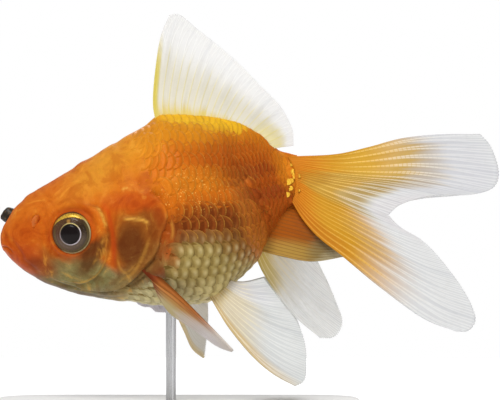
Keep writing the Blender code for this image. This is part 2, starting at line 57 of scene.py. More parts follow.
BACK = ((0.0, 0.1), (0.35, 2.1), (1.2, 3.8), (3.0, 5.75), (4.8, 7.8), (7.7, 9.5), (10.8, 11.1),
        (14.9, 12.5), (21.1, 14.6), (26.1, 16.4), (31.0, 18.2), (36.0, 20.1), (40.6, 21.5),
        (45.5, 22.8), (49.5, 22.2), (53.8, 21.0), (60.3, 18.8), (64.1, 17.0), (67.7, 14.2),
        (70.7, 11.0), (73.1, 8.6), (77.6, 6.0))
BELLY = ((0.0, -0.1), (0.35, -1.6), (1.0, -3.0), (2.6, -5.6), (4.5, -7.9), (6.5, -9.8), (9.1, -12.0),
         (12.3, -13.9), (15.2, -15.7), (20.9, -18.2), (23.7, -19.3), (29.6, -21.3), (36.0, -23.3),
         (42.2, -24.4), (47.6, -24.7), (51.5, -23.5), (54.7, -21.6), (59.9, -18.6), (62.5, -16.4),
         (64.5, -14.0), (67.5, -10.9), (70.5, -8.1), (73.5, -5.9), (77.6, -3.6))
WIDEST = ((0.0, 0.0), (3.0, -0.9), (10.0, -2.4), (18.0, -3.0), (30.0, -4.6), (45.0, -7.2),
          (55.0, -6.8), (61.0, -4.6), (66.0, -1.2), (71.0, 0.8), (77.6, 1.2))
HALF_WIDTH = ((0.0, 0.3), (0.35, 2.1), (1.2, 3.5), (3.0, 5.0), (6.0, 7.0), (10.0, 9.1), (14.0, 10.7),
              (18.0, 11.9), (24.0, 13.2), (30.0, 14.3), (36.0, 15.2), (42.0, 15.9), (48.0, 16.1),
              (54.0, 15.3), (58.0, 14.1), (61.0, 12.5), (63.0, 10.9), (64.8, 8.9), (66.6, 7.2),
              (69.0, 5.9), (71.5, 4.9), (74.2, 3.8), (77.6, 2.3))
BACK_ROUNDNESS = 1.75
BELLY_ROUNDNESS = 2.2
RIM_HEIGHT = -9.8
RIM_BEND = 0.021
RIM_MOST = 3.6
BODY_END = 77.0

EYE_PLACE = (18.4, -1.2)
EYE_RADIUS = 5.6
EYE_RING = 4.95
EYE_TURN = math.radians(14.0)
EYE_FLATNESS = 0.72
PUPIL = 2.5

LATERAL_LINE = ((20.0, 10.5), (29.0, 8.2), (36.0, 6.8), (43.2, 5.9), (53.0, 3.6), (62.7, 1.6),
                (67.2, 2.1), (72.9, 1.5), (77.6, 1.3))
SCALES_START = ((31.5, 20.5), (32.2, 18.2), (33.5, 14.4), (34.0, 9.6), (36.7, 5.5), (40.7, 2.6),
                (42.1, -0.3), (42.8, -4.2), (41.8, -9.1), (39.9, -13.1), (37.8, -16.0), (34.0, -17.6),
                (29.0, -18.6), (25.5, -21.5), (24.5, -26.0))

# Lines drawn on both flanks, (s, h)
GILL_RIM = ((38.6, 5.4), (41.5, 2.7), (42.6, -0.8), (41.9, -3.4), (40.2, -5.9), (37.9, -10.1),
            (34.3, -12.8), (30.6, -15.5), (26.2, -16.9), (20.5, -15.9), (15.6, -13.8))
CHEEK_RIM = ((22.4, 4.6), (24.4, 4.2), (25.9, 3.2), (27.0, -1.6), (26.6, -5.4), (25.1, -8.9),
             (21.6, -12.7), (16.9, -13.1), (12.6, -11.4))
GILL_PANEL = ((31.7, -0.2), (34.6, -1.2), (37.9, -2.7), (36.8, -6.0), (35.0, -9.0), (32.6, -11.3),
              (28.9, -13.3), (27.7, -12.5), (27.8, -9.4), (28.3, -6.3), (29.7, -1.2), (31.7, -0.2))
GILL_PLATE = ((37.6, -5.4), (35.8, -8.4), (33.9, -11.0), (31.0, -13.8), (27.6, -14.9))
PANEL_TOP = ((31.2, -0.1), (33.4, -0.7), (36.2, -1.5), (38.2, -3.1))
PANEL_TIP = ((28.2, -9.0), (28.6, -12.2), (29.6, -13.2), (31.2, -12.5), (33.0, -11.2))
CHEEK_GILT = ((25.4, 4.4), (26.3, 3.1), (26.9, 0.4), (27.1, -2.0))
CHEEK_PALE = ((26.4, -6.0), (25.2, -9.2), (22.6, -12.1), (18.5, -13.0), (15.0, -12.6))
CHEEK_FLUSH = ((26.2, 5.4), (28.0, 2.8), (28.4, -1.1), (28.0, -6.1), (27.0, -10.2), (25.8, -12.0))
SHOULDER_GILT = ((42.0, -0.6), (43.1, -4.0), (42.9, -6.3), (41.8, -8.2))
TEMPLE_GLINT = ((32.7, 6.5), (33.5, 7.1), (34.6, 6.9))
SHOULDER_EDGE = ((41.8, 3.0), (43.4, -1.3), (43.6, -4.0), (42.7, -8.0), (40.6, -11.5), (38.5, -15.0),
                 (38.6, -17.8), (40.0, -20.8))
THROAT_FOLD = ((9.6, -10.6), (13.3, -13.1), (18.5, -15.6), (22.9, -17.3), (27.6, -17.6), (32.0, -16.2),
               (36.6, -13.6))
LOW_THROAT_FOLD = ((14.0, -14.6), (19.5, -17.0), (24.5, -18.8), (29.5, -19.2))
MOUTH_LINE = ((0.05, -0.55), (0.5, -0.75), (1.4, -1.1), (2.2, -2.0), (2.8, -3.1))
LIP_FOLD = ((1.0, 3.2), (2.6, 1.2), (3.9, -1.2), (4.9, -3.6), (5.2, -5.4))
BELLY_RIM = ((61.4, 4.2), (62.6, 1.6), (64.3, -2.9), (65.1, -7.0), (65.1, -9.8), (64.2, -14.0),
             (60.6, -18.0))
STALK_RIDGE = ((60.0, 1.7), (62.7, 1.7), (67.2, 2.2), (72.9, 1.6), (76.0, 1.4))

# Fins: root, margin, leading edge, trailing edge of the left one, a few points (s, h, y) each
DORSAL = (
    ((44.2, 21.2, 0), (52.0, 20.3, 0), (60.5, 17.2, 0), (66.5, 13.4, 0), (70.9, 9.2, 0)),
    ((53.0, 47.2, 0.3), (55.2, 47.1, 0.5), (59.4, 42.2, 0.9), (66.3, 33.6, 0.5), (71.6, 25.4, -0.4),
     (75.6, 18.8, -0.9), (77.2, 12.6, -0.6), (76.6, 8.8, -0.3)),
    ((44.2, 21.2, 0), (44.4, 26.2, 0), (47.3, 36.1, 0.2), (50.1, 43.0, 0.3), (53.0, 47.2, 0.3)),
    ((70.9, 9.2, 0), (73.4, 9.1, -0.1), (76.6, 8.8, -0.3)),
)
PECTORAL_LEFT = (
    ((34.4, -12.2, -13.0), (36.6, -19.4, -8.8)),
    ((51.7, -37.4, -22.5), (51.0, -37.6, -21.0), (49.2, -36.7, -18.6), (46.9, -34.6, -16.2)),
    ((34.4, -12.2, -13.0), (36.8, -16.6, -14.6), (40.4, -21.0, -16.8), (46.5, -29.5, -20.3),
     (51.7, -37.4, -22.5)),
    ((36.6, -19.4, -8.8), (38.2, -25.2, -10.4), (42.7, -30.1, -13.4), (46.9, -34.6, -16.2)),
)
PECTORAL_RIGHT = (
    ((34.6, -12.4, 13.0), (38.4, -18.6, 9.4)),
    ((43.4, -39.6, 22.0), (45.1, -34.5, 20.2), (46.5, -29.8, 17.6), (47.4, -25.2, 15.0)),
    ((34.6, -12.4, 13.0), (38.0, -23.4, 16.6), (39.7, -31.2, 19.6), (40.9, -36.5, 21.4),
     (43.4, -39.6, 22.0)),
    ((38.4, -18.6, 9.4), (43.4, -20.6, 12.4), (47.4, -25.2, 15.0)),
)
PELVIC = (
    ((48.2, -22.8, -5.2), (53.8, -20.6, -5.8)),
    ((64.6, -49.0, -20.8), (67.2, -48.3, -20.8), (69.0, -40.4, -18.8), (68.5, -34.1, -16.4),
     (65.6, -28.3, -13.4), (62.7, -21.8, -11.0)),
    ((48.2, -22.8, -5.2), (51.2, -31.4, -10.8), (56.3, -40.7, -16.2), (60.0, -45.2, -18.6),
     (64.6, -49.0, -20.8)),
    ((53.8, -20.6, -5.8), (57.2, -21.9, -8.6), (62.7, -21.8, -11.0)),
)
ANAL_LEFT = (
    ((62.4, -14.8, -1.7), (66.4, -10.8, -1.8), (69.6, -7.6, -1.3), (72.4, -5.2, -0.2)),
    ((83.6, -20.8, -6.4), (87.2, -18.6, -6.6), (88.6, -15.4, -6.2), (86.4, -12.4, -5.2)),
    ((62.4, -14.8, -1.7), (67.7, -17.4, -3.0), (75.0, -20.3, -4.8), (83.6, -20.8, -6.4)),
    ((72.4, -5.2, -0.2), (75.0, -6.6, -0.3), (79.0, -9.2, -1.8), (86.4, -12.4, -5.2)),
)
ANAL_RIGHT = (
    ((61.6, -15.4, 1.8), (65.4, -11.6, 1.8), (69.2, -8.0, 1.6)),
    ((73.4, -40.2, 11.0), (76.9, -40.5, 11.4), (79.7, -37.4, 11.0), (79.2, -32.0, 9.4),
     (78.1, -26.4, 7.4), (76.7, -20.9, 5.6)),
    ((61.6, -15.4, 1.8), (62.6, -20.8, 3.8), (64.7, -26.3, 6.0), (68.1, -33.3, 8.6),
     (73.4, -40.2, 11.0)),
    ((69.2, -8.0, 1.6), (73.2, -14.2, 3.2), (76.7, -20.9, 5.6)),
)
TAIL_ROOT = ((74.6, 6.3, -0.95), (75.6, 3.0, -1.7), (75.2, -1.0, -1.8), (73.4, -4.4, -1.5))
TAIL_TOP = ((74.6, 6.3, -0.95), (79.9, 5.4, -1.6), (87.2, 4.4, -3.0), (94.8, 4.5, -4.6),
            (103.0, 4.9, -6.6), (111.6, 4.0, -8.4), (122.4, 1.8, -10.4))
TAIL_TOP_MARGIN = ((122.4, 1.8, -10.4), (124.2, -1.6, -11.6), (124.6, -8.6, -13.2),
                   (122.8, -11.4, -13.8), (117.6, -12.2, -13.8), (106.2, -10.7, -12.6),
                   (98.9, -11.2, -11.9), (95.7, -12.9, -11.9))
TAIL_LOW_MARGIN = ((95.7, -12.9, -11.9), (97.5, -15.9, -12.8), (102.6, -20.7, -15.4),
                   (107.4, -29.0, -19.2), (110.6, -37.5, -22.6), (110.9, -42.3, -24.0),
                   (108.8, -44.4, -24.0), (105.9, -44.1, -23.4))
TAIL_LOW = ((73.4, -4.4, -1.5), (74.9, -9.3, -3.6), (77.6, -14.4, -6.2), (83.0, -20.9, -10.4),
            (90.7, -30.6, -16.2), (99.2, -39.8, -21.0), (105.9, -44.1, -23.4))
TAIL_FORK_RAY = ((75.4, 0.8, -1.8), (84.7, -5.6, -6.4), (95.7, -12.9, -11.9))
BREAST_FOLD = (
    ((29.4, -20.2, 0.8), (34.0, -21.6, 0.8), (38.2, -22.6, 0.8)),
    ((30.4, -22.1, 1.6), (33.2, -23.6, 2.4), (35.6, -25.4, 3.2), (37.2, -25.2, 3.2), (38.0, -23.6, 2.2)),
    ((29.4, -20.2, 0.8), (30.4, -22.1, 1.6)),
    ((38.2, -22.6, 0.8), (38.0, -23.6, 2.2)),
)

# Rays of each fin: how many, and the two places outward where they fork
DORSAL_RAYS = (21, 0.55, 0.85)
TAIL_RAYS = (27, 0.24, 0.62)
PELVIC_RAYS = (13, 0.25, 0.6)
NEAR_ANAL_RAYS = (16, 0.3, 0.6)
FAR_ANAL_RAYS = (12, 0.3, 0.6)
PECTORAL_RAYS = (9, 0.35, 0.7)
FAR_PECTORAL_RAYS = (10, 0.3, 0.6)
FOLD_RAYS = (7, 0.6, 0.9)
FORK_SPREAD = (0.25, 0.115)  # how far the branches part at the margin, in spaces between rays
RAY_TAPER = 0.62  # the share of its width that a ray loses by the margin
RAY_JOINTS = 46.0

SKIN_POINTS = 280  # points round each ring of the skin
COAT_DEPTH = 0.3  # how far the skin lies inside the solids where scales cover it
PATCH_SIZE = 0.003  # size of one scale on the bake map
MARKING_WARP = 3.2  # how far the edges of the markings wander, in millimetres
EYE_MAP = 20.0  # millimetres across the eye's map
FLOOR_RADIUS = 0.42
LAMPS_AIM = (0.01, 0.0, 0.05)
OUTER_PIECES = []


# ---------------------------------------------------------------- shape helpers

def world(points):
    """Places in the fish's frame, in millimetres, as world coordinates in metres."""
    s, h, y = np.moveaxis(np.asarray(points, float), -1, 0)
    x = SNOUT_X + s * math.cos(PITCH) - h * math.sin(PITCH)
    z = SNOUT_Z + s * math.sin(PITCH) + h * math.cos(PITCH)
    return np.stack([x, y, z], -1) * MM


def world_direction(vectors):
    """Directions in the fish's frame turned to the world's."""
    s, h, y = np.moveaxis(np.asarray(vectors, float), -1, 0)
    return np.stack([s * math.cos(PITCH) - h * math.sin(PITCH), y,
                     s * math.sin(PITCH) + h * math.cos(PITCH)], -1)


def curve_point(t, step, first, second, first_slope, second_slope):
    """A share t of the way along one step of a smooth curve, from its ends and the slopes there."""
    return ((2 * t**3 - 3 * t**2 + 1) * first + (t**3 - 2 * t**2 + t) * step * first_slope
            + (3 * t**2 - 2 * t**3) * second + (t**3 - t**2) * step * second_slope)


def between(table, values):
    """A smooth curve through a table of (position, value), drawn over the root of the position."""
    at = np.sqrt([row[0] for row in table])
    of = np.array([row[1] for row in table])
    slope = np.gradient(of, at)
    x = np.sqrt(np.clip(values, 0.0, table[-1][0]))
    i = np.clip(np.searchsorted(at, x) - 1, 0, len(at) - 2)
    step = at[i + 1] - at[i]
    return curve_point((x - at[i]) / step, step, of[i], of[i + 1], slope[i], slope[i + 1])


def half_width(s, h):
    """The bare body's half width at s and h."""
    top, bottom, widest = between(BACK, s), between(BELLY, s), between(WIDEST, s)
    above = h > widest
    power = np.where(above, BACK_ROUNDNESS, BELLY_ROUNDNESS)
    reach = np.abs((h - widest) / np.where(above, top - widest, widest - bottom))
    lean = np.minimum(RIM_BEND * (h - RIM_HEIGHT) ** 2, RIM_MOST) * np.minimum(1.0, s / 50.0) ** 3
    full = between(HALF_WIDTH, s + lean)
    return full * np.maximum(1.0 - np.minimum(reach, 1.0) ** power, 0.0) ** (1.0 / power)


def on_body(s, turn):
    """Places on the bare body; turn goes from the back over the right flank, the belly and the left."""
    rise = np.cos(turn)
    top, bottom, widest = between(BACK, s), between(BELLY, s), between(WIDEST, s)
    h = widest + np.where(rise > 0, top - widest, widest - bottom) * rise
    side = np.where(np.mod(turn, 2 * math.pi) < math.pi, 1.0, -1.0)
    return np.stack([s + 0 * turn, h, side * half_width(s + 0 * turn, h)], -1)


def spline(points, count):
    """Evenly spaced points along a smooth curve through the given ones."""
    knots = np.array(points, float)
    if len(knots) == 2:
        return np.array([knots[0] + (knots[1] - knots[0]) * t for t in np.linspace(0, 1, count)])
    steps = np.sqrt(np.linalg.norm(np.diff(knots, axis=0), axis=1))
    at = np.concatenate([[0.0], np.cumsum(steps)])
    slope = np.array([np.gradient(knots[:, axis], at) for axis in range(knots.shape[1])]).T
    fine = []
    for i in range(len(knots) - 1):
        step = at[i + 1] - at[i]
        for t in np.linspace(0, 1, 13)[(0 if i == 0 else 1):]:
            fine.append(curve_point(t, step, knots[i], knots[i + 1], slope[i], slope[i + 1]))
    fine = np.array(fine)
    along = np.concatenate([[0.0], np.cumsum(np.linalg.norm(np.diff(fine, axis=0), axis=1))])
    want = np.linspace(0.0, along[-1], count)
    return np.array([np.interp(want, along, fine[:, axis]) for axis in range(fine.shape[1])]).T


def patch(edges, across, outward):
    """Points of a sheet spanned by its four edges, [from root to margin][from lead to trail]."""
    root, margin = spline(edges[0], across), spline(edges[1], across)
    lead, trail = spline(edges[2], outward), spline(edges[3], outward)
    u = np.linspace(0, 1, across)[None, :, None]
    v = np.linspace(0, 1, outward)[:, None, None]
    corners = ((1 - u) * (1 - v) * root[0] + u * (1 - v) * root[-1]
               + (1 - u) * v * margin[0] + u * v * margin[-1])
    return (1 - v) * root[None] + v * margin[None] + (1 - u) * lead[:, None] + u * trail[:, None] - corners


def rise_over(value, start, end):
    """0 before start, 1 after end, smooth between them; end may be the lower one."""
    t = np.clip((value - start) / (end - start), 0.0, 1.0)
    return t * t * (3 - 2 * t)


def mound(distance, width):
    return np.exp(-(distance / width) ** 2)


def from_line(s, h, line):
    """Signed distance from a line on the flank, positive to its left, and how far along it, 0 to 1."""
    line = spline(line, 40)
    start, step = line[:-1], np.diff(line, axis=0)
    length = np.linalg.norm(step, axis=1)
    before = np.concatenate([[0.0], np.cumsum(length)])
    ds, dh = s[..., None] - start[:, 0], h[..., None] - start[:, 1]
    t = np.clip((ds * step[:, 0] + dh * step[:, 1]) / length**2, 0.0, 1.0)
    gap = np.hypot(ds - t * step[:, 0], dh - t * step[:, 1])
    nearest = np.argmin(gap, axis=-1)
    pick = lambda table: np.take_along_axis(table, nearest[..., None], -1)[..., 0]
    side = np.sign(step[nearest, 0] * pick(dh) - step[nearest, 1] * pick(ds))
    along = (before[nearest] + pick(t) * length[nearest]) / before[-1]
    return side * pick(gap), along


def ends(along, share=0.12):
    """Fades a line out at both of its ends."""
    return rise_over(along, 0.0, share) * rise_over(along, 1.0, 1.0 - share)


def put(name, data):
    """An object in the scene, at the origin."""
    made = bpy.data.objects.new(name, data)
    bpy.context.scene.collection.objects.link(made)
    return made


def new_piece(name, points, faces, material, smooth=True):
    """A mesh object at the origin from places in metres."""
    mesh = bpy.data.meshes.new(name)
    mesh.from_pydata(np.asarray(points, float).reshape(-1, 3).tolist(), [], faces)
    mesh.update()
    if smooth:
        mesh.shade_smooth()
    if material:
        mesh.materials.append(material)
    return put(name, mesh)


def give(piece, name, kind, values):
    """Stores a value for each point on a piece's mesh."""
    layer = piece.data.attributes.new(name, kind, "POINT")
    layer.data.foreach_set("value" if kind == "FLOAT" else "vector", np.asarray(values, np.float32).ravel())


def give_map(piece, name, places):
    """A UV map from one place for each point."""
    layer = piece.data.uv_layers.new(name=name)
    corners = np.empty(len(piece.data.loops), np.int32)
    piece.data.loops.foreach_get("vertex_index", corners)
    layer.data.foreach_set("uv", np.asarray(places, np.float32)[corners].ravel())


def wear(piece, slot, *nodes):
    """Puts a finished piece on the model in place of its solids."""
    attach(piece, "root")
    if nodes:
        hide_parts(*nodes)
    OUTER_PIECES.append(piece)
    return piece


def closed_rings(rings, count):
    """The faces of a body whose points are a first one, rings of so many points, and a last one."""
    faces = [(0, 1 + k, 1 + (k + 1) % count) for k in range(count)]
    for first in range(1, 1 + (rings - 1) * count, count):
        faces += [(first + k, first + count + k, first + count + (k + 1) % count, first + (k + 1) % count)
                  for k in range(count)]
    last = 1 + (rings - 1) * count
    return faces + [(last + k, last + count, last + (k + 1) % count) for k in range(count)]


def edge_of(rows, count):
    """The corners round the edge of a grid of points, in order."""
    edge = list(range(count)) + [j * count + count - 1 for j in range(1, rows)]
    edge += [(rows - 1) * count + i for i in reversed(range(count - 1))]
    return edge + [j * count for j in reversed(range(1, rows - 1))]


def two_layers(outward, across):
    """The faces of a closed sheet whose points are one grid after the other, joined round the edge."""
    layer = outward * across
    faces = []
    for j in range(outward - 1):
        for i in range(across - 1):
            corner = j * across + i
            faces.append((corner, corner + 1, corner + across + 1, corner + across))
            faces.append((layer + corner + across, layer + corner + across + 1, layer + corner + 1,
                          layer + corner))
    edge = edge_of(outward, across)
    for k, corner in enumerate(edge):
        after = edge[(k + 1) % len(edge)]
        faces.append((after, corner, layer + corner, layer + after))
    return faces


# ---------------------------------------------------------------- node helpers

class Wire:
    """A value in a node tree. Arithmetic with wires and numbers adds the nodes that work it out."""

    def __init__(self, socket):
        self.socket = socket
        self.tree = socket.id_data

    def __add__(self, other):
        return calc("ADD", self, other)

    def __sub__(self, other):
        return calc("SUBTRACT", self, other)

    def __rsub__(self, other):
        return calc("SUBTRACT", other, self)

    def __mul__(self, other):
        return calc("MULTIPLY", self, other)

    def __truediv__(self, other):
        return calc("DIVIDE", self, other)

    def __abs__(self):
        return calc("ABSOLUTE", self)


def feed(socket, value):
    """Links a wire to an input, or sets the input to a plain value."""
    if isinstance(value, Wire):
        value.tree.links.new(value.socket, socket)
    else:
        socket.default_value = (*value, 1.0) if socket.type == "RGBA" else value


def connect(node, **sources):
    """Feeds a node's inputs; one named i0, i1... goes by number, any other by its name."""
    for key, value in sources.items():
        numbered = key[0] == "i" and key[1:].isdigit()
        feed(node.inputs[int(key[1:]) if numbered else key.replace("_", " ")], value)


def add(tree, kind, fields=None, **inputs):
    """A node with its settings and inputs."""
    made = tree.nodes.new(kind)
    for key, value in (fields or {}).items():
        setattr(made, key, value)
    connect(made, **inputs)
    return made


def wire(tree, kind, fields=None, out=0, **inputs):
    """One output of a new node."""
    return Wire(add(tree, kind, fields, **inputs).outputs[out])


def tree_of(*values):
    """The node tree that these values are in."""
    return next(value.tree for value in values if isinstance(value, Wire))


def calc(operation, *values):
    """Arithmetic on numbers."""
    inputs = {"i" + str(number): value for number, value in enumerate(values)}
    return wire(tree_of(*values), "ShaderNodeMath", {"operation": operation}, **inputs)


def vector(operation, first, second):
    """A sum, difference, product or scaling of vectors."""
    second = {"Scale" if operation == "SCALE" else "i1": second}
    return wire(first.tree, "ShaderNodeVectorMath", {"operation": operation}, i0=first, **second)


def blend(share, first, second, mode="MIX"):
    """One colour laid over another."""
    fields = {"data_type": "RGBA", "blend_type": mode}
    return wire(tree_of(share, first, second), "ShaderNodeMix", fields, 2, i0=share, i6=first, i7=second)


def shaded(colour, tone):
    """A colour darkened through another."""
    return blend(1.0, colour, tone, "MULTIPLY")


def ramp(value, start, end, low=0.0, high=1.0):
    """A smooth rise of a value between two others."""
    return wire(value.tree, "ShaderNodeMapRange", {"interpolation_type": "SMOOTHSTEP"}, Value=value,
                From_Min=start, From_Max=end, To_Min=low, To_Max=high)


def noise(place, scale, detail=3.0, out=0, **more):
    return wire(place.tree, "ShaderNodeTexNoise", None, out, Vector=place, Scale=scale, Detail=detail, **more)


def bump(height, strength, distance=0.0001):
    return wire(height.tree, "ShaderNodeBump", Strength=strength, Distance=distance, Height=height)


def split(value, kind="XYZ"):
    """The three numbers of a place, or of a colour."""
    return [Wire(out) for out in add(value.tree, "ShaderNodeSeparate" + kind, i0=value).outputs]


def attribute(tree, name, out="Fac"):
    return wire(tree, "ShaderNodeAttribute", {"attribute_name": name}, out)


def map_place(tree, name):
    return wire(tree, "ShaderNodeUVMap", {"uv_map": name})


def object_place(tree):
    return wire(tree, "ShaderNodeTexCoord", out="Object")


def named(outputs):
    return {socket.name: Wire(socket) for socket in outputs}


def new_group(name, kind, inputs, outputs):
    """A node group; returns wires from its inputs, by name, and its output node."""
    tree = bpy.data.node_groups.new(name, kind)
    for word, socket_kind, value in inputs:
        socket = tree.interface.new_socket(word, in_out="INPUT", socket_type="NodeSocket" + socket_kind)
        if value is not None:
            socket.default_value = value
    for word, socket_kind in outputs:
        tree.interface.new_socket(word, in_out="OUTPUT", socket_type="NodeSocket" + socket_kind)
    return named(tree.nodes.new("NodeGroupInput").outputs), tree.nodes.new("NodeGroupOutput")


def use(tree, shared, **inputs):
    return named(add(tree, "ShaderNodeGroup", {"node_tree": shared}, **inputs).outputs)


def finish(name, **uniform):
    """A material, its node tree, and its shader with the values that are the same all over it."""
    material = bpy.data.materials.new(name)
    material.use_nodes = True
    shader = material.node_tree.nodes["Principled BSDF"]
    connect(shader, **uniform)
    return material, material.node_tree, shader


# ---------------------------------------------------------------- markings and surface effects

def fish_place(place):
    """The s and h, in millimetres, of an object's coordinates, which are the world's metres."""
    lean, rise = math.cos(PITCH), math.sin(PITCH)
    back, up = (
        wire(place.tree, "ShaderNodeVectorMath", {"operation": "DOT_PRODUCT"}, "Value", i0=place, i1=axis)
        for axis in ((lean / MM, 0.0, rise / MM), (-rise / MM, 0.0, lean / MM)))
    return back - (SNOUT_X * lean + SNOUT_Z * rise), up - (SNOUT_Z * lean - SNOUT_X * rise)


# Markings, laid over each other in order: middle (s, h), half length, half height, turn in degrees,
# softness, strength, colour
ORANGE = (0.60, 0.140, 0.008)
CREAM = (0.345, 0.260, 0.085)
MARKINGS = (
    ((38.0, 18.0), 16.0, 6.0, 28, 0.6, 0.85, (0.72, 0.27, 0.016)),  # shoulder
    ((57.0, 17.0), 15.0, 4.4, -20, 0.6, 0.8, (0.72, 0.28, 0.012)),  # back under the dorsal fin
    ((56.5, 19.6), 14.0, 1.9, -19, 0.5, 1.0, (0.84, 0.47, 0.02)),  # gold along the dorsal root
    ((61.5, 8.5), 10.5, 6.0, -14, 0.5, 0.85, (0.46, 0.09, 0.007)),  # deep orange rump
    ((65.5, 4.4), 6.5, 2.6, -8, 0.6, 0.8, (0.3, 0.05, 0.008)),  # dark rows over the ridge
    ((50.0, 5.4), 9.5, 3.2, -8, 0.6, 0.6, (0.66, 0.21, 0.012)),  # gold along the lateral line
    ((52.0, -7.5), 13.5, 6.5, -4, 0.4, 0.92, (0.2, 0.044, 0.009)),  # brown lower flank
    ((47.0, -22.5), 16.5, 13.3, 3, 0.24, 1.0, CREAM),  # belly
    ((46.0, -26.5), 14.0, 6.2, 0, 0.5, 1.0, (0.68, 0.59, 0.28)),  # its lighter underside
    ((58.8, -12.4), 5.6, 4.0, -35, 0.7, 0.7, (0.22, 0.085, 0.016)),  # brown over its rear
    ((63.2, -7.5), 3.6, 11.0, 4, 0.45, 0.85, (0.48, 0.15, 0.02)),  # rear rim of the belly, paler: painted light along the edge of its step
    ((71.0, -4.6), 8.0, 6.0, 20, 0.5, 0.85, (0.36, 0.07, 0.008)),  # lower tail stalk
    ((68.0, -1.2), 6.6, 2.6, -4, 0.5, 0.8, (0.26, 0.042, 0.008)),
    ((68.0, 1.7), 7.0, 0.75, -2, 0.5, 0.35, (0.46, 0.08, 0.007)),  # the ridge of the tail stalk
    ((75.0, 3.5), 3.6, 6.0, 10, 0.5, 0.85, (0.68, 0.22, 0.012)),  # gold where the tail begins
    ((39.7, -4.0), 2.7, 9.6, 8, 0.35, 0.95, (0.36, 0.062, 0.007)),  # shoulder band
    ((36.8, -15.2), 2.2, 3.4, 20, 0.5, 0.9, (0.17, 0.028, 0.008)),
    ((24.0, -18.0), 18.0, 6.4, -14, 0.3, 1.0, (0.22, 0.2, 0.12)),  # throat
    ((34.0, -21.5), 9.5, 4.6, -6, 0.35, 1.0, (0.56, 0.5, 0.26)),  # breast
    ((10.5, -13.4), 11.0, 2.5, -38, 0.5, 0.95, (0.085, 0.04, 0.013)),  # painted shade under the jaw, dark olive
    ((18.0, -11.2), 9.6, 4.4, -20, 0.3, 0.97, (0.215, 0.19, 0.07)),  # cheek
    ((32.0, -13.8), 9.0, 3.2, 34, 0.45, 0.85, (0.23, 0.155, 0.05)),  # lower gill cover
    ((34.0, -6.0), 6.6, 8.4, -12, 0.4, 0.85, (0.22, 0.068, 0.01)),  # gill cover
    ((32.2, -7.2), 3.6, 5.2, -12, 0.5, 0.85, (0.12, 0.034, 0.008)),  # dark panel
    ((34.5, 3.4), 6.5, 2.6, -6, 0.5, 0.9, (0.52, 0.085, 0.006)),  # red over the gill cover
    ((12.0, -5.6), 3.6, 3.0, -30, 0.6, 0.6, (0.2, 0.062, 0.01)),
    ((18.6, -1.2), 6.8, 6.8, 0, 0.2, 0.7, (0.48, 0.075, 0.006)),  # red skin round the eye
    ((22.4, -7.4), 5.6, 2.4, 40, 0.5, 0.9, (0.1, 0.036, 0.01)),  # brown under the eye
    ((5.8, -4.6), 5.6, 3.4, -48, 0.5, 0.85, (0.42, 0.055, 0.006)),  # red muzzle
    ((9.0, -7.6), 4.2, 2.0, -38, 0.6, 0.7, (0.22, 0.045, 0.008)),  # brown corner of the jaw
    ((6.0, 1.2), 4.8, 2.6, 10, 0.7, 0.75, (0.58, 0.115, 0.008)),
    ((14.0, 9.0), 9.0, 3.2, 28, 0.6, 0.6, (0.62, 0.155, 0.012)),  # forehead
    ((28.0, 13.0), 10.0, 3.6, 30, 0.7, 0.6, (0.7, 0.3, 0.03)),  # its gold towards the nape
    ((6.6, 0.4), 5.6, 4.0, 20, 0.7, 0.6, (0.44, 0.07, 0.006)),  # snout
)


def markings_group():
    """The goldfish's colours over its whole body, for skin and scales alike."""
    start, end = new_group("goldfish_markings", "ShaderNodeTree", [("Place", "Vector", None)],
                           [("Colour", "Color"), ("Pearl", "Float"), ("Brown", "Float"), ("Gilt", "Float")])
    red, green, _ = split(noise(start["Place"], 260.0, out="Color"), "Color")
    s, h = fish_place(start["Place"])
    s, h = s + (red - 0.5) * MARKING_WARP, h + (green - 0.5) * MARKING_WARP

    def zone(middle, long, high, turn, softness):
        spin, tilt = math.cos(math.radians(turn)), math.sin(math.radians(turn))
        ds, dh = s - middle[0], h - middle[1]
        along = ds * (spin / long) + dh * (tilt / long)
        across = dh * (spin / high) - ds * (tilt / high)
        return ramp(calc("SQRT", along * along + across * across), 1.0 + softness, 1.0 - softness)

    colour = ORANGE
    for *place, strength, tone in MARKINGS:
        colour = blend(zone(*place) * strength, colour, tone)
    pearl = calc("MAXIMUM", zone((47.0, -22.5), 16.5, 13.3, 3, 0.14), zone((34.0, -21.5), 9.0, 4.6, -6, 0.3))
    dark_rows = zone((65.0, 5.5), 8.0, 5.0, -14, 0.5) * 0.8
    brown = calc("MAXIMUM", zone((52.5, -7.0), 14.0, 7.2, -4, 0.4), dark_rows)
    # the last mask is where the scales carry painted glints
    connect(end, Colour=colour, Pearl=pearl, Brown=brown, Gilt=zone((50.5, 3.4), 8.0, 4.6, -10, 0.7))
    return end.id_data


def mottle_group():
    """Fine living unevenness: darker and lighter flecks in a colour, and a height for soft pores."""
    start, end = new_group("skin_mottle", "ShaderNodeTree",
                           [("Place", "Vector", None), ("Colour", "Color", None), ("Amount", "Float", 0.2)],
                           [("Colour", "Color"), ("Height", "Float"), ("Roughness", "Float")])
    colour, amount = start["Colour"], start["Amount"]
    wide = noise(start["Place"], 700.0, 4.0, Roughness=0.6)
    fine = noise(start["Place"], 3200.0, 3.0, Roughness=0.6)
    both = wide * 0.65 + fine * 0.35
    toned = blend(ramp(both, 0.52, 0.36) * amount, colour, shaded(colour, (0.45, 0.36, 0.30)))
    toned = blend(ramp(both, 0.52, 0.68) * amount, toned, blend(0.35, colour, (0.95, 0.52, 0.14)))
    connect(end, Colour=toned, Height=both, Roughness=fine * 0.25 + 0.16)
    return end.id_data


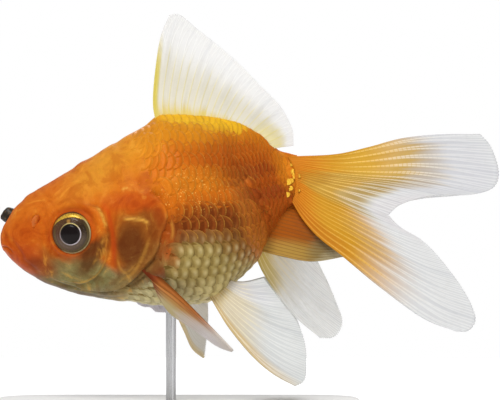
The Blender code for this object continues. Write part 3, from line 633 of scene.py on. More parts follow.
def rays_group():
    """Fin rays that fork twice: across and outward are the sheet's own map, from root to margin."""
    start, end = new_group("fin_rays", "ShaderNodeTree",
                           [("Place", "Vector", None), ("Rays", "Float", None), ("First Fork", "Float", None),
                            ("Second Fork", "Float", None), ("Width", "Float", None)],
                           [("Ray", "Float"), ("Across", "Float"), ("Outward", "Float"), ("Joint", "Float")])
    across, outward, _ = split(start["Place"])
    offset = abs(calc("FRACT", across * start["Rays"]) - 0.5)
    once = abs(offset - ramp(outward, start["First Fork"], 1.0, 0.0, FORK_SPREAD[0]))
    twice = abs(once - ramp(outward, start["Second Fork"], 1.0, 0.0, FORK_SPREAD[1]))
    ray = ramp(twice, start["Width"] * (1.0 - outward * RAY_TAPER), 0.0) * ramp(outward, 0.0, 0.12, 0.5, 1.0)
    bands = abs(calc("FRACT", outward * RAY_JOINTS) - 0.5)
    connect(end, Ray=ray, Across=across, Outward=outward, Joint=ramp(bands, 0.34, 0.5) * ray)
    return end.id_data


MARKED = markings_group()
MOTTLED = mottle_group()
RAYS = rays_group()


def skin_finish():
    """Moist skin in the fish's markings, clouded, with painted shade in creases, gilt or red edges and one
    painted glint.
    """
    material, tree, shader = finish("goldfish_skin", Coat_Weight=0.03, Coat_Roughness=0.32, Coat_IOR=1.36,
                                    Specular_IOR_Level=0.14, Specular_Tint=(1.0, 0.55, 0.2),
                                    Subsurface_Weight=0.10, Subsurface_Radius=(1.0, 0.35, 0.12),
                                    Subsurface_Scale=0.0012)
    place = object_place(tree)
    marks = use(tree, MARKED, Place=place)
    blue = split(marks["Colour"], "Color")[2]
    mottle = use(tree, MOTTLED, Place=place, Colour=marks["Colour"],
                 Amount=ramp(blue, 0.02, 0.07, 0.14, 0.40))
    cloud = noise(place, 170.0, 5.0, Roughness=0.6, Distortion=1.2)
    colour = mottle["Colour"]
    colour = blend(ramp(cloud, 0.54, 0.36, 0.0, 0.75), colour, shaded(colour, (0.78, 0.58, 0.50)))
    colour = blend(ramp(cloud, 0.54, 0.70, 0.0, 0.30), colour, (0.90, 0.42, 0.05))
    colour = blend(attribute(tree, "flush"), colour, blend(0.72, colour, (0.55, 0.055, 0.005)))
    # painted shade: the skin's colour is darkened in its creases, grooves and pits
    colour = blend(attribute(tree, "crease_shade") * 0.85, colour, shaded(colour, (0.34, 0.24, 0.20)))
    # gilt colour along plate edges, with one painted glint at the temple
    gilt = attribute(tree, "edge") * ramp(noise(place, 1100.0), 0.30, 0.52, 0.45, 1.0)
    connect(shader, Base_Color=blend(gilt, colour, (0.74, 0.37, 0.055)), Roughness=mottle["Roughness"] + 0.18,
            Normal=bump(mottle["Height"], 0.25))
    return material


def scale_finish():
    """Glossy scales: a rim painted lit, a dark bar partly painted shade, domed pearls with painted shade and
    light, painted glints and gilt shells.
    """
    material, tree, shader = finish("goldfish_scales", Coat_Weight=0.03, Coat_Roughness=0.10, Coat_IOR=1.38,
                                    Specular_IOR_Level=0.16, Specular_Tint=(1.0, 0.42, 0.06))
    place = object_place(tree)
    # each scale's markings keep half to its seat, so that they turn a little from scale to scale
    seated = wire(tree, "ShaderNodeMix", {"data_type": "VECTOR"}, 1, i0=0.5, i4=place,
                  i5=attribute(tree, "seat", "Vector"))
    marks = use(tree, MARKED, Place=seated)
    base, pearl, brown = (marks[word] for word in ("Colour", "Pearl", "Brown"))
    spot = map_place(tree, "scale_place")
    along, upward, _ = split(spot)
    upward = upward * 2.0 - 1.0
    across = abs(upward)
    tint, edged = attribute(tree, "tint"), attribute(tree, "edged")
    plain = 1.0 - pearl
    # a dark bar where the scale in front ends, partly the brown scales' dark centres and partly painted shade
    # under that edge, and a thin pale rim painted lit on its upper half
    bar = ramp(abs(along - 0.68), 0.17, 0.05) * ramp(across, 0.90, 0.40) * plain * (brown * 0.62 + 0.16)
    colour = blend(bar * (edged * 0.6 + 0.4), base, shaded(base, (0.52, 0.44, 0.60)))
    rim = ramp(along, 0.925, 0.975) * ramp(upward, -0.45, 0.30, 0.15, 1.0) * plain * (edged * 0.35 + 0.25)
    colour = blend(rim, colour, blend(0.65, base, (0.86, 0.42, 0.06)))
    # painted shade between the pearls, and painted light on their domes
    corner = ramp(across, 0.56, 0.74) * ramp(along, 0.90, 0.80)
    gap = calc("MAXIMUM", ramp(along, 0.88, 1.0, 0.0, 0.8), corner)
    gap = calc("MAXIMUM", gap, ramp(along, 0.70, 0.60, 0.0, 0.5))
    colour = blend(gap * pearl * 0.95, colour, shaded(base, (0.42, 0.34, 0.22)))
    painted_dome_light = ramp(abs(along - 0.80), 0.14, 0.0) * ramp(across, 0.5, 0.0) * pearl
    colour = blend(painted_dome_light * 0.5, colour, (0.64, 0.54, 0.29))
    colour = vector("SCALE", colour, tint * 0.13 + 0.93)
    # painted glints: bright gold flecks standing for sparkles of reflected light, along the lateral line and
    # on brown scales' lit rims
    glint = ramp(noise(place, 2300.0, 1.0), 0.64, 0.72) * calc("MAXIMUM", marks["Gilt"], rim * brown * 1.5)
    colour = blend(glint * 0.8, colour, (1.0, 0.66, 0.16))
    shell = ramp(tint, 0.85, 0.95) * ramp(across, 1.0, 0.7, 0.3, 1.0)
    colour = blend(shell * 0.92, colour, (0.98, 0.60, 0.06))
    rings = wire(tree, "ShaderNodeTexWave", {"wave_type": "BANDS", "bands_direction": "X"}, "Fac",
                 Vector=spot, Scale=4.5, Distortion=1.5, Detail=2.0)
    mottle = use(tree, MOTTLED, Place=place, Colour=colour, Amount=pearl * 0.15 + 0.15)
    connect(shader, Base_Color=mottle["Colour"], Roughness=mottle["Roughness"] + 0.10,
            Metallic=calc("MAXIMUM", glint, shell) * 0.35 + plain * 0.04,
            Normal=bump(rings * 0.25 + mottle["Height"], 0.25))
    return material


def fin_finish(name, colours, reach, rays, ray_colour, ray_share, clear, beads=0.0, patches=(), wide=0.22):
    """A translucent fin: three colours from its root to its margin, drawn out along its rays.

    Each patch is a place across and outward, its half sizes, its strength and its colour."""
    material, tree, shader = finish(name, Specular_IOR_Level=0.06, Coat_Weight=0.03, Coat_Roughness=0.25,
                                    Subsurface_Weight=0.0)
    place = map_place(tree, "fin_place")
    count, first_fork, second_fork = rays
    drawn = use(tree, RAYS, Place=place, Rays=float(count), First_Fork=first_fork, Second_Fork=second_fork,
                Width=wide)
    ray, across = drawn["Ray"], drawn["Across"]
    uneven = noise(vector("MULTIPLY", place, (count * 1.3, 1.1, 1.0)), 1.0)
    far = (uneven - 0.5) * 0.30 + drawn["Outward"] - ray * 0.03
    colour = blend(ramp(far, reach[0] * 0.3, reach[0] * 1.5), colours[0], colours[1])
    colour = blend(ramp(far, reach[1] - 0.22, reach[1] + 0.22), colour, colours[2])
    for middle, outward, half_across, half_outward, strength, tone in patches:
        du, dv = (across - middle) / half_across, (far - outward) / half_outward
        colour = blend(ramp(du * du + dv * dv, 1.6, 0.2, 0.0, strength), colour, tone)
    inner = ramp(far, reach[1] + 0.12, reach[1] - 0.12)
    colour = blend(ray * inner * ray_share, colour, ray_colour)
    if beads:
        bead = (ray - drawn["Joint"]) * ramp(far, 0.18, 0.32) * ramp(far, reach[1] + 0.25, reach[1])
        bead = bead * ramp(across, 0.75, 0.35, 0.3, 1.0)
        beaded = blend(ramp(far, reach[1] - 0.25, reach[1]), (0.90, 0.64, 0.20), (0.90, 0.84, 0.70))
        colour = blend(bead * beads, colour, beaded)
    colour = blend(ray * (1.0 - inner) * 0.40, colour, (0.86, 0.86, 0.84))
    colour = blend(ramp(uneven, 0.52, 0.34, 0.0, 0.45), colour, shaded(colour, (0.84, 0.85, 0.88)))
    mottle = use(tree, MOTTLED, Place=object_place(tree), Colour=colour, Amount=0.05)
    # the web between the rays lets more light through than they do
    thin = ramp(drawn["Outward"], 0.10, 0.75) * (1.0 - ray * 0.4)
    connect(shader, Base_Color=mottle["Colour"], Alpha=1.0 - thin * clear,
            Roughness=mottle["Roughness"] + 0.30, Normal=bump(ray - drawn["Joint"] * 0.25, 0.13))
    return material


# ---------------------------------------------------------------- skin

def ring_places():
    """Where the skin's rings lie: closest at the snout, close over the head, wider under the scales."""
    places, s = [0.0], 0.004
    while s < BODY_END:
        places.append(s)
        s += min(0.11 * math.sqrt(s) + 0.008, 0.19 if s < 44.0 else 0.41)
    return np.array(places + [BODY_END])


def relief(place):
    """How far the skin stands out from the bare body, with the painted shade of its creases, its gilt edges
    and glint, and red flushes.
    """
    s, h, y = place[..., 0], place[..., 1], np.abs(place[..., 2])
    # The crease values are painted shade: how far the skin's colour is darkened in grooves, pits and hollows.
    out, crease_shade, edge, flush = (np.zeros_like(s) for _ in range(4))

    # a groove: the skin sinks along a line, and dark is how much painted shade its colour gets there
    def groove(line, depth, width, dark, fade=0.12):
        nonlocal out, crease_shade
        gap, along = from_line(s, h, line)
        cut = mound(gap, width) * ends(along, fade)
        out = out - depth * cut
        crease_shade = np.maximum(crease_shade, dark * cut)

    def ledge(line, height, slope, drop, dark, light, fade=0.12):
        """A raised rim that falls off sharply behind the line and gently in front of it, with painted shade
        in the fall behind.
        """
        nonlocal out, crease_shade, edge
        gap, along = from_line(s, h, line)
        shown = ends(along, fade)
        inner = rise_over(gap, 0.28, -0.12) * np.exp(-np.maximum(-gap, 0.0) / slope)
        out = out + height * inner * shown - drop * mound(gap - 0.55, 0.38) * shown
        crease_shade = np.maximum(crease_shade, dark * mound(gap - 0.5, 0.36) * shown)
        edge = np.maximum(edge, light * mound(gap + 0.42, 0.5) * shown)

    def stroke(line, width, strength, fade=0.2):
        gap, along = from_line(s, h, line)
        return strength * mound(gap, width) * ends(along, fade)

    # gill cover and its plates; these lines run down the flank, so what lies in front is negative
    ledge(GILL_RIM, 0.62, 6.5, 0.38, 0.70, 0.06, 0.06)
    ledge(CHEEK_RIM, 0.38, 3.4, 0.22, 0.45, 0.04, 0.10)
    panel, _ = from_line(s, h, GILL_PANEL)
    out = out + 0.20 * mound(panel, 0.45) + 0.12 * rise_over(panel, 0.2, -0.4)
    groove(((26.9, -11.5), (28.0, -7.0), (28.6, -2.0), (28.0, 2.8)), 0.16, 0.8, 0.25)
    # gilt colour along plate edges; the temple's short stroke is a painted glint
    for line, width, strength in (
            (PANEL_TOP, 0.36, 0.85), (PANEL_TIP, 0.32, 0.28), (GILL_PLATE, 0.50, 0.28),
            (CHEEK_GILT, 0.36, 0.85), (CHEEK_PALE, 0.24, 0.35), (SHOULDER_GILT, 0.40, 0.35),
            (TEMPLE_GLINT, 0.30, 0.8)):
        edge = np.maximum(edge, stroke(line, width, strength))
    flush = np.maximum(stroke(CHEEK_FLUSH, 0.75, 0.9), stroke(STALK_RIDGE, 0.55, 0.3))
    groove(SHOULDER_EDGE, -0.40, 0.8, 0.0)
    groove(THROAT_FOLD, 0.42, 0.42, 0.75)
    groove(LOW_THROAT_FOLD, 0.22, 0.40, 0.45)
    # the belly's rim stands out, and the dip behind it is darkened with painted shade
    groove(BELLY_RIM, -0.40, 0.8, 0.0)
    groove([(a + 1.3, b) for a, b in BELLY_RIM], 0.55, 0.75, 0.75)
    groove(STALK_RIDGE, -0.22, 0.7, 0.0)
    groove([(a, b - 1.4) for a, b in STALK_RIDGE], 0.12, 0.6, 0.35)

    # mouth, lips and the fold behind them, with painted shade in the mouth's slit and the folds
    gap, along = from_line(s, h, MOUTH_LINE)
    end_fade = rise_over(along, 1.0, 0.8)
    out = out + 0.16 * mound(np.abs(gap) - 0.62, 0.42) * end_fade - 0.18 * mound(gap, 0.22) * end_fade
    crease_shade = np.maximum(crease_shade, 0.35 * mound(gap, 0.18) * end_fade)
    groove(LIP_FOLD, 0.16, 0.5, 0.25)
    groove(((4.2, -4.4), (6.4, -6.6), (8.4, -9.6)), 0.14, 0.5, 0.22)

    # nostrils: a pit with a raised rim, parted by the flap; the pit is darkened with painted shade
    pit = np.hypot((s - 10.2) * 0.95, h - 4.2) + 0 * y
    out = out - 0.75 * mound(pit, 0.8) + 0.20 * mound(pit - 1.35, 0.45)
    crease_shade = np.maximum(crease_shade, 0.9 * mound(pit, 0.62))

    # the socket under the globe, its round lid and the furrow outside it; the socket's edge and the furrow
    # get painted shade
    across = (s - EYE_PLACE[0]) / math.cos(EYE_TURN)
    ring = np.hypot(across, h - EYE_PLACE[1])
    out = out * rise_over(ring, 4.6, 6.4)
    out = out - 2.6 * rise_over(ring, 5.0, 4.35) + 0.50 * mound(ring - 5.35, 0.42)
    out = out - 0.16 * mound(ring - 6.5, 0.5) + 0.30 * mound(ring - 7.6, 1.3)
    crease_shade = np.maximum(crease_shade, 0.55 * mound(ring - 5.0, 0.22))
    crease_shade = np.maximum(crease_shade, 0.22 * mound(ring - 6.5, 0.4))

    # soft rises: nape, dorsal root, cheek, fin roots
    out = out + 0.30 * np.exp(-((s - 23.5) / 1.6) ** 2 - (y / 4.0) ** 2) * (h > 8)
    out = out + 0.30 * np.exp(-((s - 9.0) / 1.2) ** 2 - (y / 3.5) ** 2) * (h > 6)
    root = rise_over(s, 41.0, 45.5) * rise_over(s, 72.0, 69.0)
    out = out + 0.85 * root * np.exp(-(y / 1.5) ** 2) * (h > 5)
    for middle, radius, height in (((36.5, -15.5), 2.8, 0.8), ((51.0, -22.0), 3.2, 0.7),
                                   ((66.0, -11.2), 3.0, 0.5), ((17.5, -9.6), 4.2, 0.35)):
        out = out + height * mound(np.hypot(s - middle[0], h - middle[1]), radius)

    # slow unevenness of flesh
    out = out + 0.045 * np.sin(0.9 * s + 0.5 * h) * np.sin(0.8 * h - 0.35 * s + 1.1)
    out = out + 0.020 * np.sin(2.3 * s - 1.2 * h + 0.6) * np.sin(2.0 * h + 0.9 * s)
    covered = under_scales(s, h)
    out = out - COAT_DEPTH * covered
    # the tail's rays come out from within
    out = out - 1.3 * rise_over(s - 0.4 * np.minimum(h, 0.0), 75.4, 78.6) * rise_over(y, 0.2, 1.4)
    return out, crease_shade * (1 - 0.6 * covered), edge, flush


def under_scales(s, h):
    """1 where scales cover the skin, and 0 on the head and at the tail's root."""
    gap, _ = from_line(s, h, SCALES_START)
    return rise_over(gap, 0.0, 1.6) * rise_over(s, 75.0, 73.0)


def skin_grid(rings, turns):
    """Places and surface marks of the finished skin."""
    bare = on_body(rings[:, None], turns[None, :])
    around = np.roll(bare, -1, axis=1) - np.roll(bare, 1, axis=1)
    back = np.gradient(bare, axis=0)
    outward = np.cross(around, back)
    outward /= np.maximum(np.linalg.norm(outward, axis=2, keepdims=True), 1e-9)
    middle = np.stack([rings, between(WIDEST, rings), 0 * rings], -1)[:, None]
    flip = np.sign((outward * (bare - middle)).sum(axis=2, keepdims=True))
    outward = outward * np.where(flip == 0, 1, flip)
    out, crease_shade, edge, flush = relief(bare)
    fade = rise_over(rings, 0.0, 0.5)[:, None]
    return bare + outward * (out * fade)[..., None], crease_shade * fade, edge * fade, flush * fade


def make_skin(material):
    """One skin over head, jaw, trunk, gill covers and tail stalk."""
    rings = ring_places()
    turns = 2 * math.pi * (np.arange(SKIN_POINTS) + 0.5) / SKIN_POINTS
    grid, crease_shade, edge, flush = skin_grid(rings, turns)
    points = np.concatenate([[grid[0].mean(axis=0)], grid.reshape(-1, 3), [grid[-1].mean(axis=0)]])
    skin = new_piece("skin", world(points), closed_rings(len(rings), SKIN_POINTS), material)
    for word, marks in (("crease_shade", crease_shade), ("edge", edge), ("flush", flush)):
        give(skin, word, "FLOAT", np.concatenate([[0.0], marks.ravel(), [0.0]]))
    return skin


# ---------------------------------------------------------------- scales

ROW_HEIGHT = ((0.0, 3.6), (46.0, 3.5), (56.0, 3.4), (62.0, 3.2), (68.0, 2.9), (78.0, 2.5))
UPPER_COLUMNS = ((0.0, 1.9), (46.0, 1.95), (54.0, 1.8), (60.0, 1.3), (66.0, 1.05), (78.0, 0.95))
LOWER_COLUMNS = ((0.0, 2.1), (56.0, 2.1), (62.0, 1.8), (68.0, 1.4), (78.0, 1.1))
ROWS_MEET = 51.0  # the s at which all the rows of scales are in step
SCALES_END = 73.7  # the last root that a row of scales has, short of the tail's root
SHELL_COUNT = 15


class FlankMap:
    """Finds a place on one flank from s and its girth distance above or below the lateral line."""

    def __init__(self, side):
        self.side = side
        self.rings = np.linspace(22.0, 77.5, 160)
        self.turns = np.linspace(0.0, math.pi, 181)[1:-1]
        places = on_body(self.rings[:, None], self.turns[None, :])
        steps = np.linalg.norm(np.diff(places[..., 1:], axis=1), axis=2)
        girth = np.concatenate([np.zeros((len(self.rings), 1)), np.cumsum(steps, axis=1)], axis=1)
        line_h = np.interp(self.rings, *np.array(LATERAL_LINE).T)
        at_line = np.array([np.interp(-h, -row[:, 1], g) for h, row, g in zip(line_h, places, girth)])
        self.height = at_line[:, None] - girth

    def turn(self, s, height):
        i = np.clip(np.searchsorted(self.rings, s) - 1, 0, len(self.rings) - 2)
        share = (s - self.rings[i]) / (self.rings[i + 1] - self.rings[i])
        near, far = (np.interp(-height, -self.height[j], self.turns) for j in (i, i + 1))
        return near + (far - near) * share

    def reach(self, s):
        """The lowest and highest girth distance at s."""
        return (np.interp(s, self.rings, self.height[:, -1]), np.interp(s, self.rings, self.height[:, 0]))

    def place(self, s, height):
        found = on_body(np.array([s]), np.array([self.turn(s, height)]))[0]
        found[2] *= self.side
        return found

    def root(self, s, height):
        """Where a scale's root lies on the bake map, which is the body unrolled."""
        return s / 80.0, 0.5 + 0.5 * self.side * self.turn(s, height) / math.pi


def scale_rows(side, random):
    """Every scale of one flank: root place, directions, size and looks, row by row."""
    flank = FlankMap(side)
    rows = []
    stations = np.linspace(24.0, 77.4, 200)
    heights, upper, lower = (np.interp(stations, *np.array(table).T)
                             for table in (ROW_HEIGHT, UPPER_COLUMNS, LOWER_COLUMNS))
    lowest, highest = np.array([flank.reach(s) for s in stations]).T
    start = int(np.argmin(np.abs(stations - ROWS_MEET)))
    for row in range(-16, 13):
        low_share = float(rise_over(row, 1.0, -2.0))
        lengths = upper * (1.0 - low_share) + lower * low_share
        level = row if row > -4 else -4 + 0.84 * (row + 4)
        path = np.array([flank.place(s, min(max(v, low), high))
                         for s, v, low, high in zip(stations, level * heights, lowest, highest)])
        growth = 1.0 + 0.16 * rise_over(-row, 3.0, 6.0)
        steps = np.linalg.norm(np.diff(path, axis=0), axis=1) / (0.5 * (lengths[1:] + lengths[:-1]) * growth)
        order = np.concatenate([[0.0], np.cumsum(steps)])
        order = order - order[start]
        first = math.ceil(order[0]) + (0.5 if row % 2 else 0.0)
        for number in np.arange(first, order[-1], 1.0):
            s = float(np.interp(number, order, stations)) + random.normal(0.0, 0.05)
            height = float(np.interp(s, stations, heights))
            low, high = flank.reach(s)
            v = level * height + random.normal(0.0, 0.05)
            if v < low + 0.25 * height or v > high - 0.22 * height:
                continue
            here = flank.place(s, v)
            gap, _ = from_line(np.array(here[0]), np.array(here[1]), SCALES_START)
            if gap < -0.6 or here[0] > SCALES_END + min(0.0, 0.6 * (here[1] + 2.6)):
                continue
            lie = flank.place(s + 0.25, level * float(np.interp(s + 0.25, stations, heights))) - here
            outward = np.cross(flank.place(s, v + 0.3) - here, lie)
            outward *= np.sign((outward * (here - (s, between(WIDEST, s), 0.0))).sum())
            grown = float(rise_over(gap, -0.8, 11.0 if here[1] > 6.0 else 3.0))
            grown *= 0.35 + 0.65 * float(rise_over(here[0], 77.0, 73.0))
            ridge = float(np.interp(here[0], *np.array(STALK_RIDGE).T))
            fading = float(rise_over(ridge + 2.4 - here[1], 0.0, 3.6) * rise_over(here[0], 60.0, 67.0))
            pearl = float(rise_over(np.hypot((here[0] - 47.0) / 17.0, (here[1] + 22.5) / 13.5), 1.2, 0.8))
            brown = float(rise_over(np.hypot((here[0] - 52.5) / 14.0, (here[1] + 6.5) / 7.2), 1.3, 0.7))
            rows.append({"place": here, "lie": lie, "outward": outward,
                         "length": float(np.interp(s, stations, lengths)) * growth,
                         "height": height * (1.0 if row > -4 else 0.9),
                         "grown": grown, "edged": grown * (1.0 - 0.7 * fading), "domed": pearl * grown,
                         "brown": brown, "root": flank.root(s, v)})
    return rows


def tail_shells(side):
    """A loose cluster of gilt scales where the stalk passes into the tail fin."""
    random = np.random.default_rng(5)
    flank = FlankMap(side)
    line_s, line_h, _ = np.array(TAIL_ROOT[::-1]).T
    rows = []
    for upward in np.linspace(0.0, 1.0, SHELL_COUNT):
        s = min(73.3 + 3.5 * upward + random.normal(0.0, 0.65), 77.4)
        v = -3.9 + 6.9 * upward + random.normal(0.0, 0.4)
        # a shell sits on the stalk's skin or on the fin, clear of the line between them
        line = float(np.interp(v, line_h, line_s))
        on_fin = s > line + 0.3
        s = max(s, line + 0.9) if on_fin else min(s, line - 0.3)
        size = (1.15 - 0.35 * upward) * random.uniform(0.55, 1.25)
        rows.append({"place": np.array((s, v, 4.0 * side)) if on_fin else flank.place(s, v),
                     "lie": np.array((1.0, -0.15, 0.0)), "outward": np.array((0.0, 0.0, side)),
                     "length": 0.60 * size, "height": 0.80 * size,
                     "grown": 1.0, "edged": 1.0, "domed": 0.8, "brown": 0.0, "root": flank.root(s, v)})
    return rows


def scale_shape():
    """One scale, 1 long and 2 across: a thin plate with a round rear edge, closed all round."""
    along, across = 5, 9
    top, sheet, crown = [], [], []
    for i in range(along):
        for k in range(across):
            a = (i / (along - 1)) ** 0.8
            b = 2.0 * k / (across - 1) - 1.0
            front, rear = 0.10 * b**2, 1.0 - 0.34 * abs(b) ** 2.4
            top.append((front + (rear - front) * a, b * (0.93 + 0.07 * math.sin(math.pi * a)), 0.0))
            sheet.append((a, 0.5 + 0.5 * b, 0.0))
            crown.append((1.0 - b * b) * math.sin(math.pi * max(0.0, (a - 0.40) / 0.60)))
    edge = edge_of(along, across)
    count = len(top)
    faces = [(c, c + 1, c + across + 1, c + across) for i in range(along - 1)
             for c in range(i * across, i * across + across - 1)]
    for k, corner in enumerate(edge):
        after = (k + 1) % len(edge)
        faces.append((edge[after], corner, count + k, count + after))
    faces.append(tuple(count + k for k in range(len(edge))))
    made = new_piece("scale_shape", top + [(*top[c][:2], -0.1) for c in edge], faces, None, False)
    turn_outward(made)
    sheet += [sheet[c] for c in edge]
    give(made, "spot", "FLOAT_VECTOR", sheet)
    give(made, "rise", "FLOAT", [a for a, _, _ in sheet])
    give(made, "crown", "FLOAT", crown + [crown[c] for c in edge])
    give(made, "under", "FLOAT", [0.0] * count + [1.0] * len(edge))
    return made


def scale_tree():
    """Geometry Nodes: a scale on every root point, each bent to the skin and lifted towards its rear."""
    start, end = new_group("scales_over_skin", "GeometryNodeTree", [
        ("Roots", "Geometry", None), ("Scale Shape", "Object", None), ("Skin", "Object", None),
        ("Finish", "Material", None), ("Root Depth", "Float", 0.00014), ("Rear Lift", "Float", 0.00026),
        ("Crown", "Float", 0.00042), ("Thickness", "Float", 0.00008), ("Patch Size", "Float", PATCH_SIZE)],
        [("Scales", "Geometry")])
    tree = end.id_data
    tree.is_modifier = True

    def enabled(sockets, name):
        return next(socket for socket in sockets if socket.enabled and socket.name == name)

    def field(name, kind="FLOAT"):
        made = add(tree, "GeometryNodeInputNamedAttribute", {"data_type": kind}, Name=name)
        return Wire(enabled(made.outputs, "Attribute"))

    shape, skin = (wire(tree, "GeometryNodeObjectInfo", None, "Geometry", Object=start[word])
                   for word in ("Scale Shape", "Skin"))
    turn = wire(tree, "FunctionNodeEulerToRotation", i0=field("turn", "FLOAT_VECTOR"))
    spread = wire(tree, "GeometryNodeInstanceOnPoints", Points=start["Roots"], Instance=shape, Rotation=turn,
                  Scale=field("size", "FLOAT_VECTOR"))
    solid = wire(tree, "GeometryNodeRealizeInstances", i0=spread)
    nearest = []
    for kind in ("GeometryNodeInputPosition", "GeometryNodeInputNormal"):
        sample = add(tree, "GeometryNodeSampleNearestSurface", {"data_type": "FLOAT_VECTOR"}, Mesh=skin,
                     Value=wire(tree, kind))
        nearest.append(Wire(enabled(sample.outputs, "Value")))
    lift = field("rise") * field("lift") * start["Rear Lift"] * (field("grown") * 0.75 + 0.25)
    level = lift + field("crown") * start["Crown"] * field("dome") - start["Root Depth"]
    level = level - field("under") * start["Thickness"]
    bent = wire(tree, "GeometryNodeSetPosition", Geometry=solid,
                Position=vector("ADD", nearest[0], vector("SCALE", nearest[1], level)))
    spot = field("spot", "FLOAT_VECTOR")
    local = vector("SCALE", vector("SUBTRACT", spot, (0.5, 0.5, 0.0)), start["Patch Size"])
    bake_place = vector("ADD", field("root", "FLOAT_VECTOR"), local)
    for name, places in (("OFBake", bake_place), ("scale_place", spot)):
        stored = add(tree, "GeometryNodeStoreNamedAttribute", {"data_type": "FLOAT2", "domain": "CORNER"},
                     Geometry=bent, Name=name)
        feed(enabled(stored.inputs, "Value"), places)
        bent = Wire(stored.outputs[0])
    smooth = wire(tree, "GeometryNodeSetShadeSmooth", Geometry=bent)
    connect(end, Scales=wire(tree, "GeometryNodeSetMaterial", Geometry=smooth, Material=start["Finish"]))
    return tree


def scale_bed(*pieces):
    """A helper holding the surfaces that scales lie on."""
    joined = bmesh.new()
    for piece in pieces:
        joined.from_mesh(piece.data)
    mesh = bpy.data.meshes.new("scale_bed")
    joined.to_mesh(mesh)
    joined.free()
    return put("scale_bed", mesh)


def make_scales(side, word, bed, shape, tree, material):
    """One flank's scales, laid by the node tree and realised as one mesh."""
    random = np.random.default_rng(11)
    rows = scale_rows(side, random)
    tints = 0.8 * random.random(len(rows))
    shells = tail_shells(side)
    rows, tints = rows + shells, np.concatenate([tints, np.ones(len(shells))])
    seats = world([row["place"] for row in rows])
    places, turns, sizes = [], [], []
    for row, seat in zip(rows, seats):
        lie = Vector(world_direction(row["lie"])).normalized()
        outward = Vector(world_direction(row["outward"])).normalized()
        side_way = outward.cross(lie).normalized()
        turn = Matrix((lie, side_way, lie.cross(side_way))).transposed().to_euler()
        length = row["length"] * 2.45 * random.normal(1.0, 0.02) * MM
        turns.append(turn)
        sizes.append((length, row["height"] * 0.84 * random.normal(1.0, 0.02) * MM, MM))
        # the shape starts at its root, so it is set forward of its seat by its hidden length
        places.append(seat - np.array(turn.to_matrix().col[0]) * length * 0.62)
    roots = new_piece("scale_roots_" + word, places, [], material, False)
    map_places = [(*row["root"], 0.0) for row in rows]
    for name, values in (("turn", turns), ("size", sizes), ("seat", seats), ("root", map_places)):
        give(roots, name, "FLOAT_VECTOR", values)
    grown, edged, domed, brown = (
        np.array([row[name] for row in rows]) for name in ("grown", "edged", "domed", "brown"))
    dome = 0.06 + 0.94 * domed
    lift = 1.0 + 0.35 * brown + 0.9 * domed
    for name, values in (("tint", tints), ("grown", grown), ("edged", edged), ("dome", dome), ("lift", lift)):
        give(roots, name, "FLOAT", values)
    laid = roots.modifiers.new("scales", "NODES")
    laid.node_group = tree
    sockets = {item.name: item.identifier for item in tree.interface.items_tree if item.in_out == "INPUT"}
    for name, value in (("Scale Shape", shape), ("Skin", bed), ("Finish", material)):
        laid[sockets[name]] = value
    graph = bpy.context.evaluated_depsgraph_get()
    mesh = bpy.data.meshes.new_from_object(roots.evaluated_get(graph), preserve_all_data_layers=True,
                                           depsgraph=graph)
    bpy.data.objects.remove(roots)
    mesh.name = "scales_" + word
    print(mesh.name, len(rows), "scales,", len(mesh.polygons), "faces")
    return wear(put("scales_" + word, mesh), "scaled_skin")


# ---------------------------------------------------------------- fins

def ray_height(across, outward, rays, width=0.2):
    """The same forking rays as the finish draws, for the sheet's own relief."""
    count, first_fork, second_fork = rays
    offset = np.abs(np.mod(across * count, 1.0) - 0.5)
    once = np.abs(offset - FORK_SPREAD[0] * rise_over(outward, first_fork, 1.0))
    twice = np.abs(once - FORK_SPREAD[1] * rise_over(outward, second_fork, 1.0))
    return rise_over(twice, width * (1.0 - RAY_TAPER * outward), 0.0)


def fin_piece(name, grid, material, rays, root, tip, wave, ripple, notch, lead_spine=0.0):
    """A thin sheet with forking rays standing out on both of its faces."""
    outward, across = grid.shape[:2]
    u = np.linspace(0, 1, across)[None, :] + np.zeros((outward, 1))
    v = np.linspace(0, 1, outward)[:, None] + np.zeros((1, across))
    ray = ray_height(u, v, rays)
    at_margin = ray_height(u[0], 1.0 + 0 * u[0], rays, 0.3)
    drawn_in = v - notch * (1.0 - at_margin)[None, :] * rise_over(v, 0.55, 1.0)
    source = np.linspace(0, 1, outward)
    pulled = np.stack([[np.interp(drawn_in[:, i], source, grid[:, i, axis]) for i in range(across)]
                       for axis in range(3)], -1)
    grid = np.swapaxes(pulled, 0, 1)
    normal = np.cross(np.gradient(grid, axis=0), np.gradient(grid, axis=1))
    normal /= np.maximum(np.linalg.norm(normal, axis=2, keepdims=True), 1e-9)
    fold = wave * v**1.6 * np.sin(2 * math.pi * (ripple * u + 0.35 * v))
    grid = grid + normal * fold[..., None]
    half = 0.5 * (tip + (root - tip) * (1.0 - v) ** 3) + 0.055 * ray * (1.0 - 0.7 * v)
    half = half + lead_spine * mound(u, 0.02) * (1.0 - 0.8 * v)
    points = np.concatenate([grid + normal * half[..., None], grid - normal * half[..., None]])
    made = new_piece(name, world(points), two_layers(outward, across), material)
    turn_outward(made)
    flat = np.stack([u, v], -1).reshape(-1, 2)
    give_map(made, "fin_place", np.concatenate([flat, flat]))
    return made


def turn_outward(piece):
    """Turns a closed piece's faces out, if its volume says that they point in."""
    mesh = piece.data
    mesh.calc_loop_triangles()
    corners = np.empty(len(mesh.loop_triangles) * 3, np.int32)
    mesh.loop_triangles.foreach_get("vertices", corners)
    points = np.empty(len(mesh.vertices) * 3)
    mesh.vertices.foreach_get("co", points)
    shape = points.reshape(-1, 3)[corners].reshape(-1, 3, 3)
    shape = shape - points.reshape(-1, 3).mean(axis=0)
    if np.linalg.det(shape).sum() < 0:
        mesh.flip_normals()


def mirrored(edges):
    return tuple(tuple((s, h, -y) for s, h, y in edge) for edge in edges)


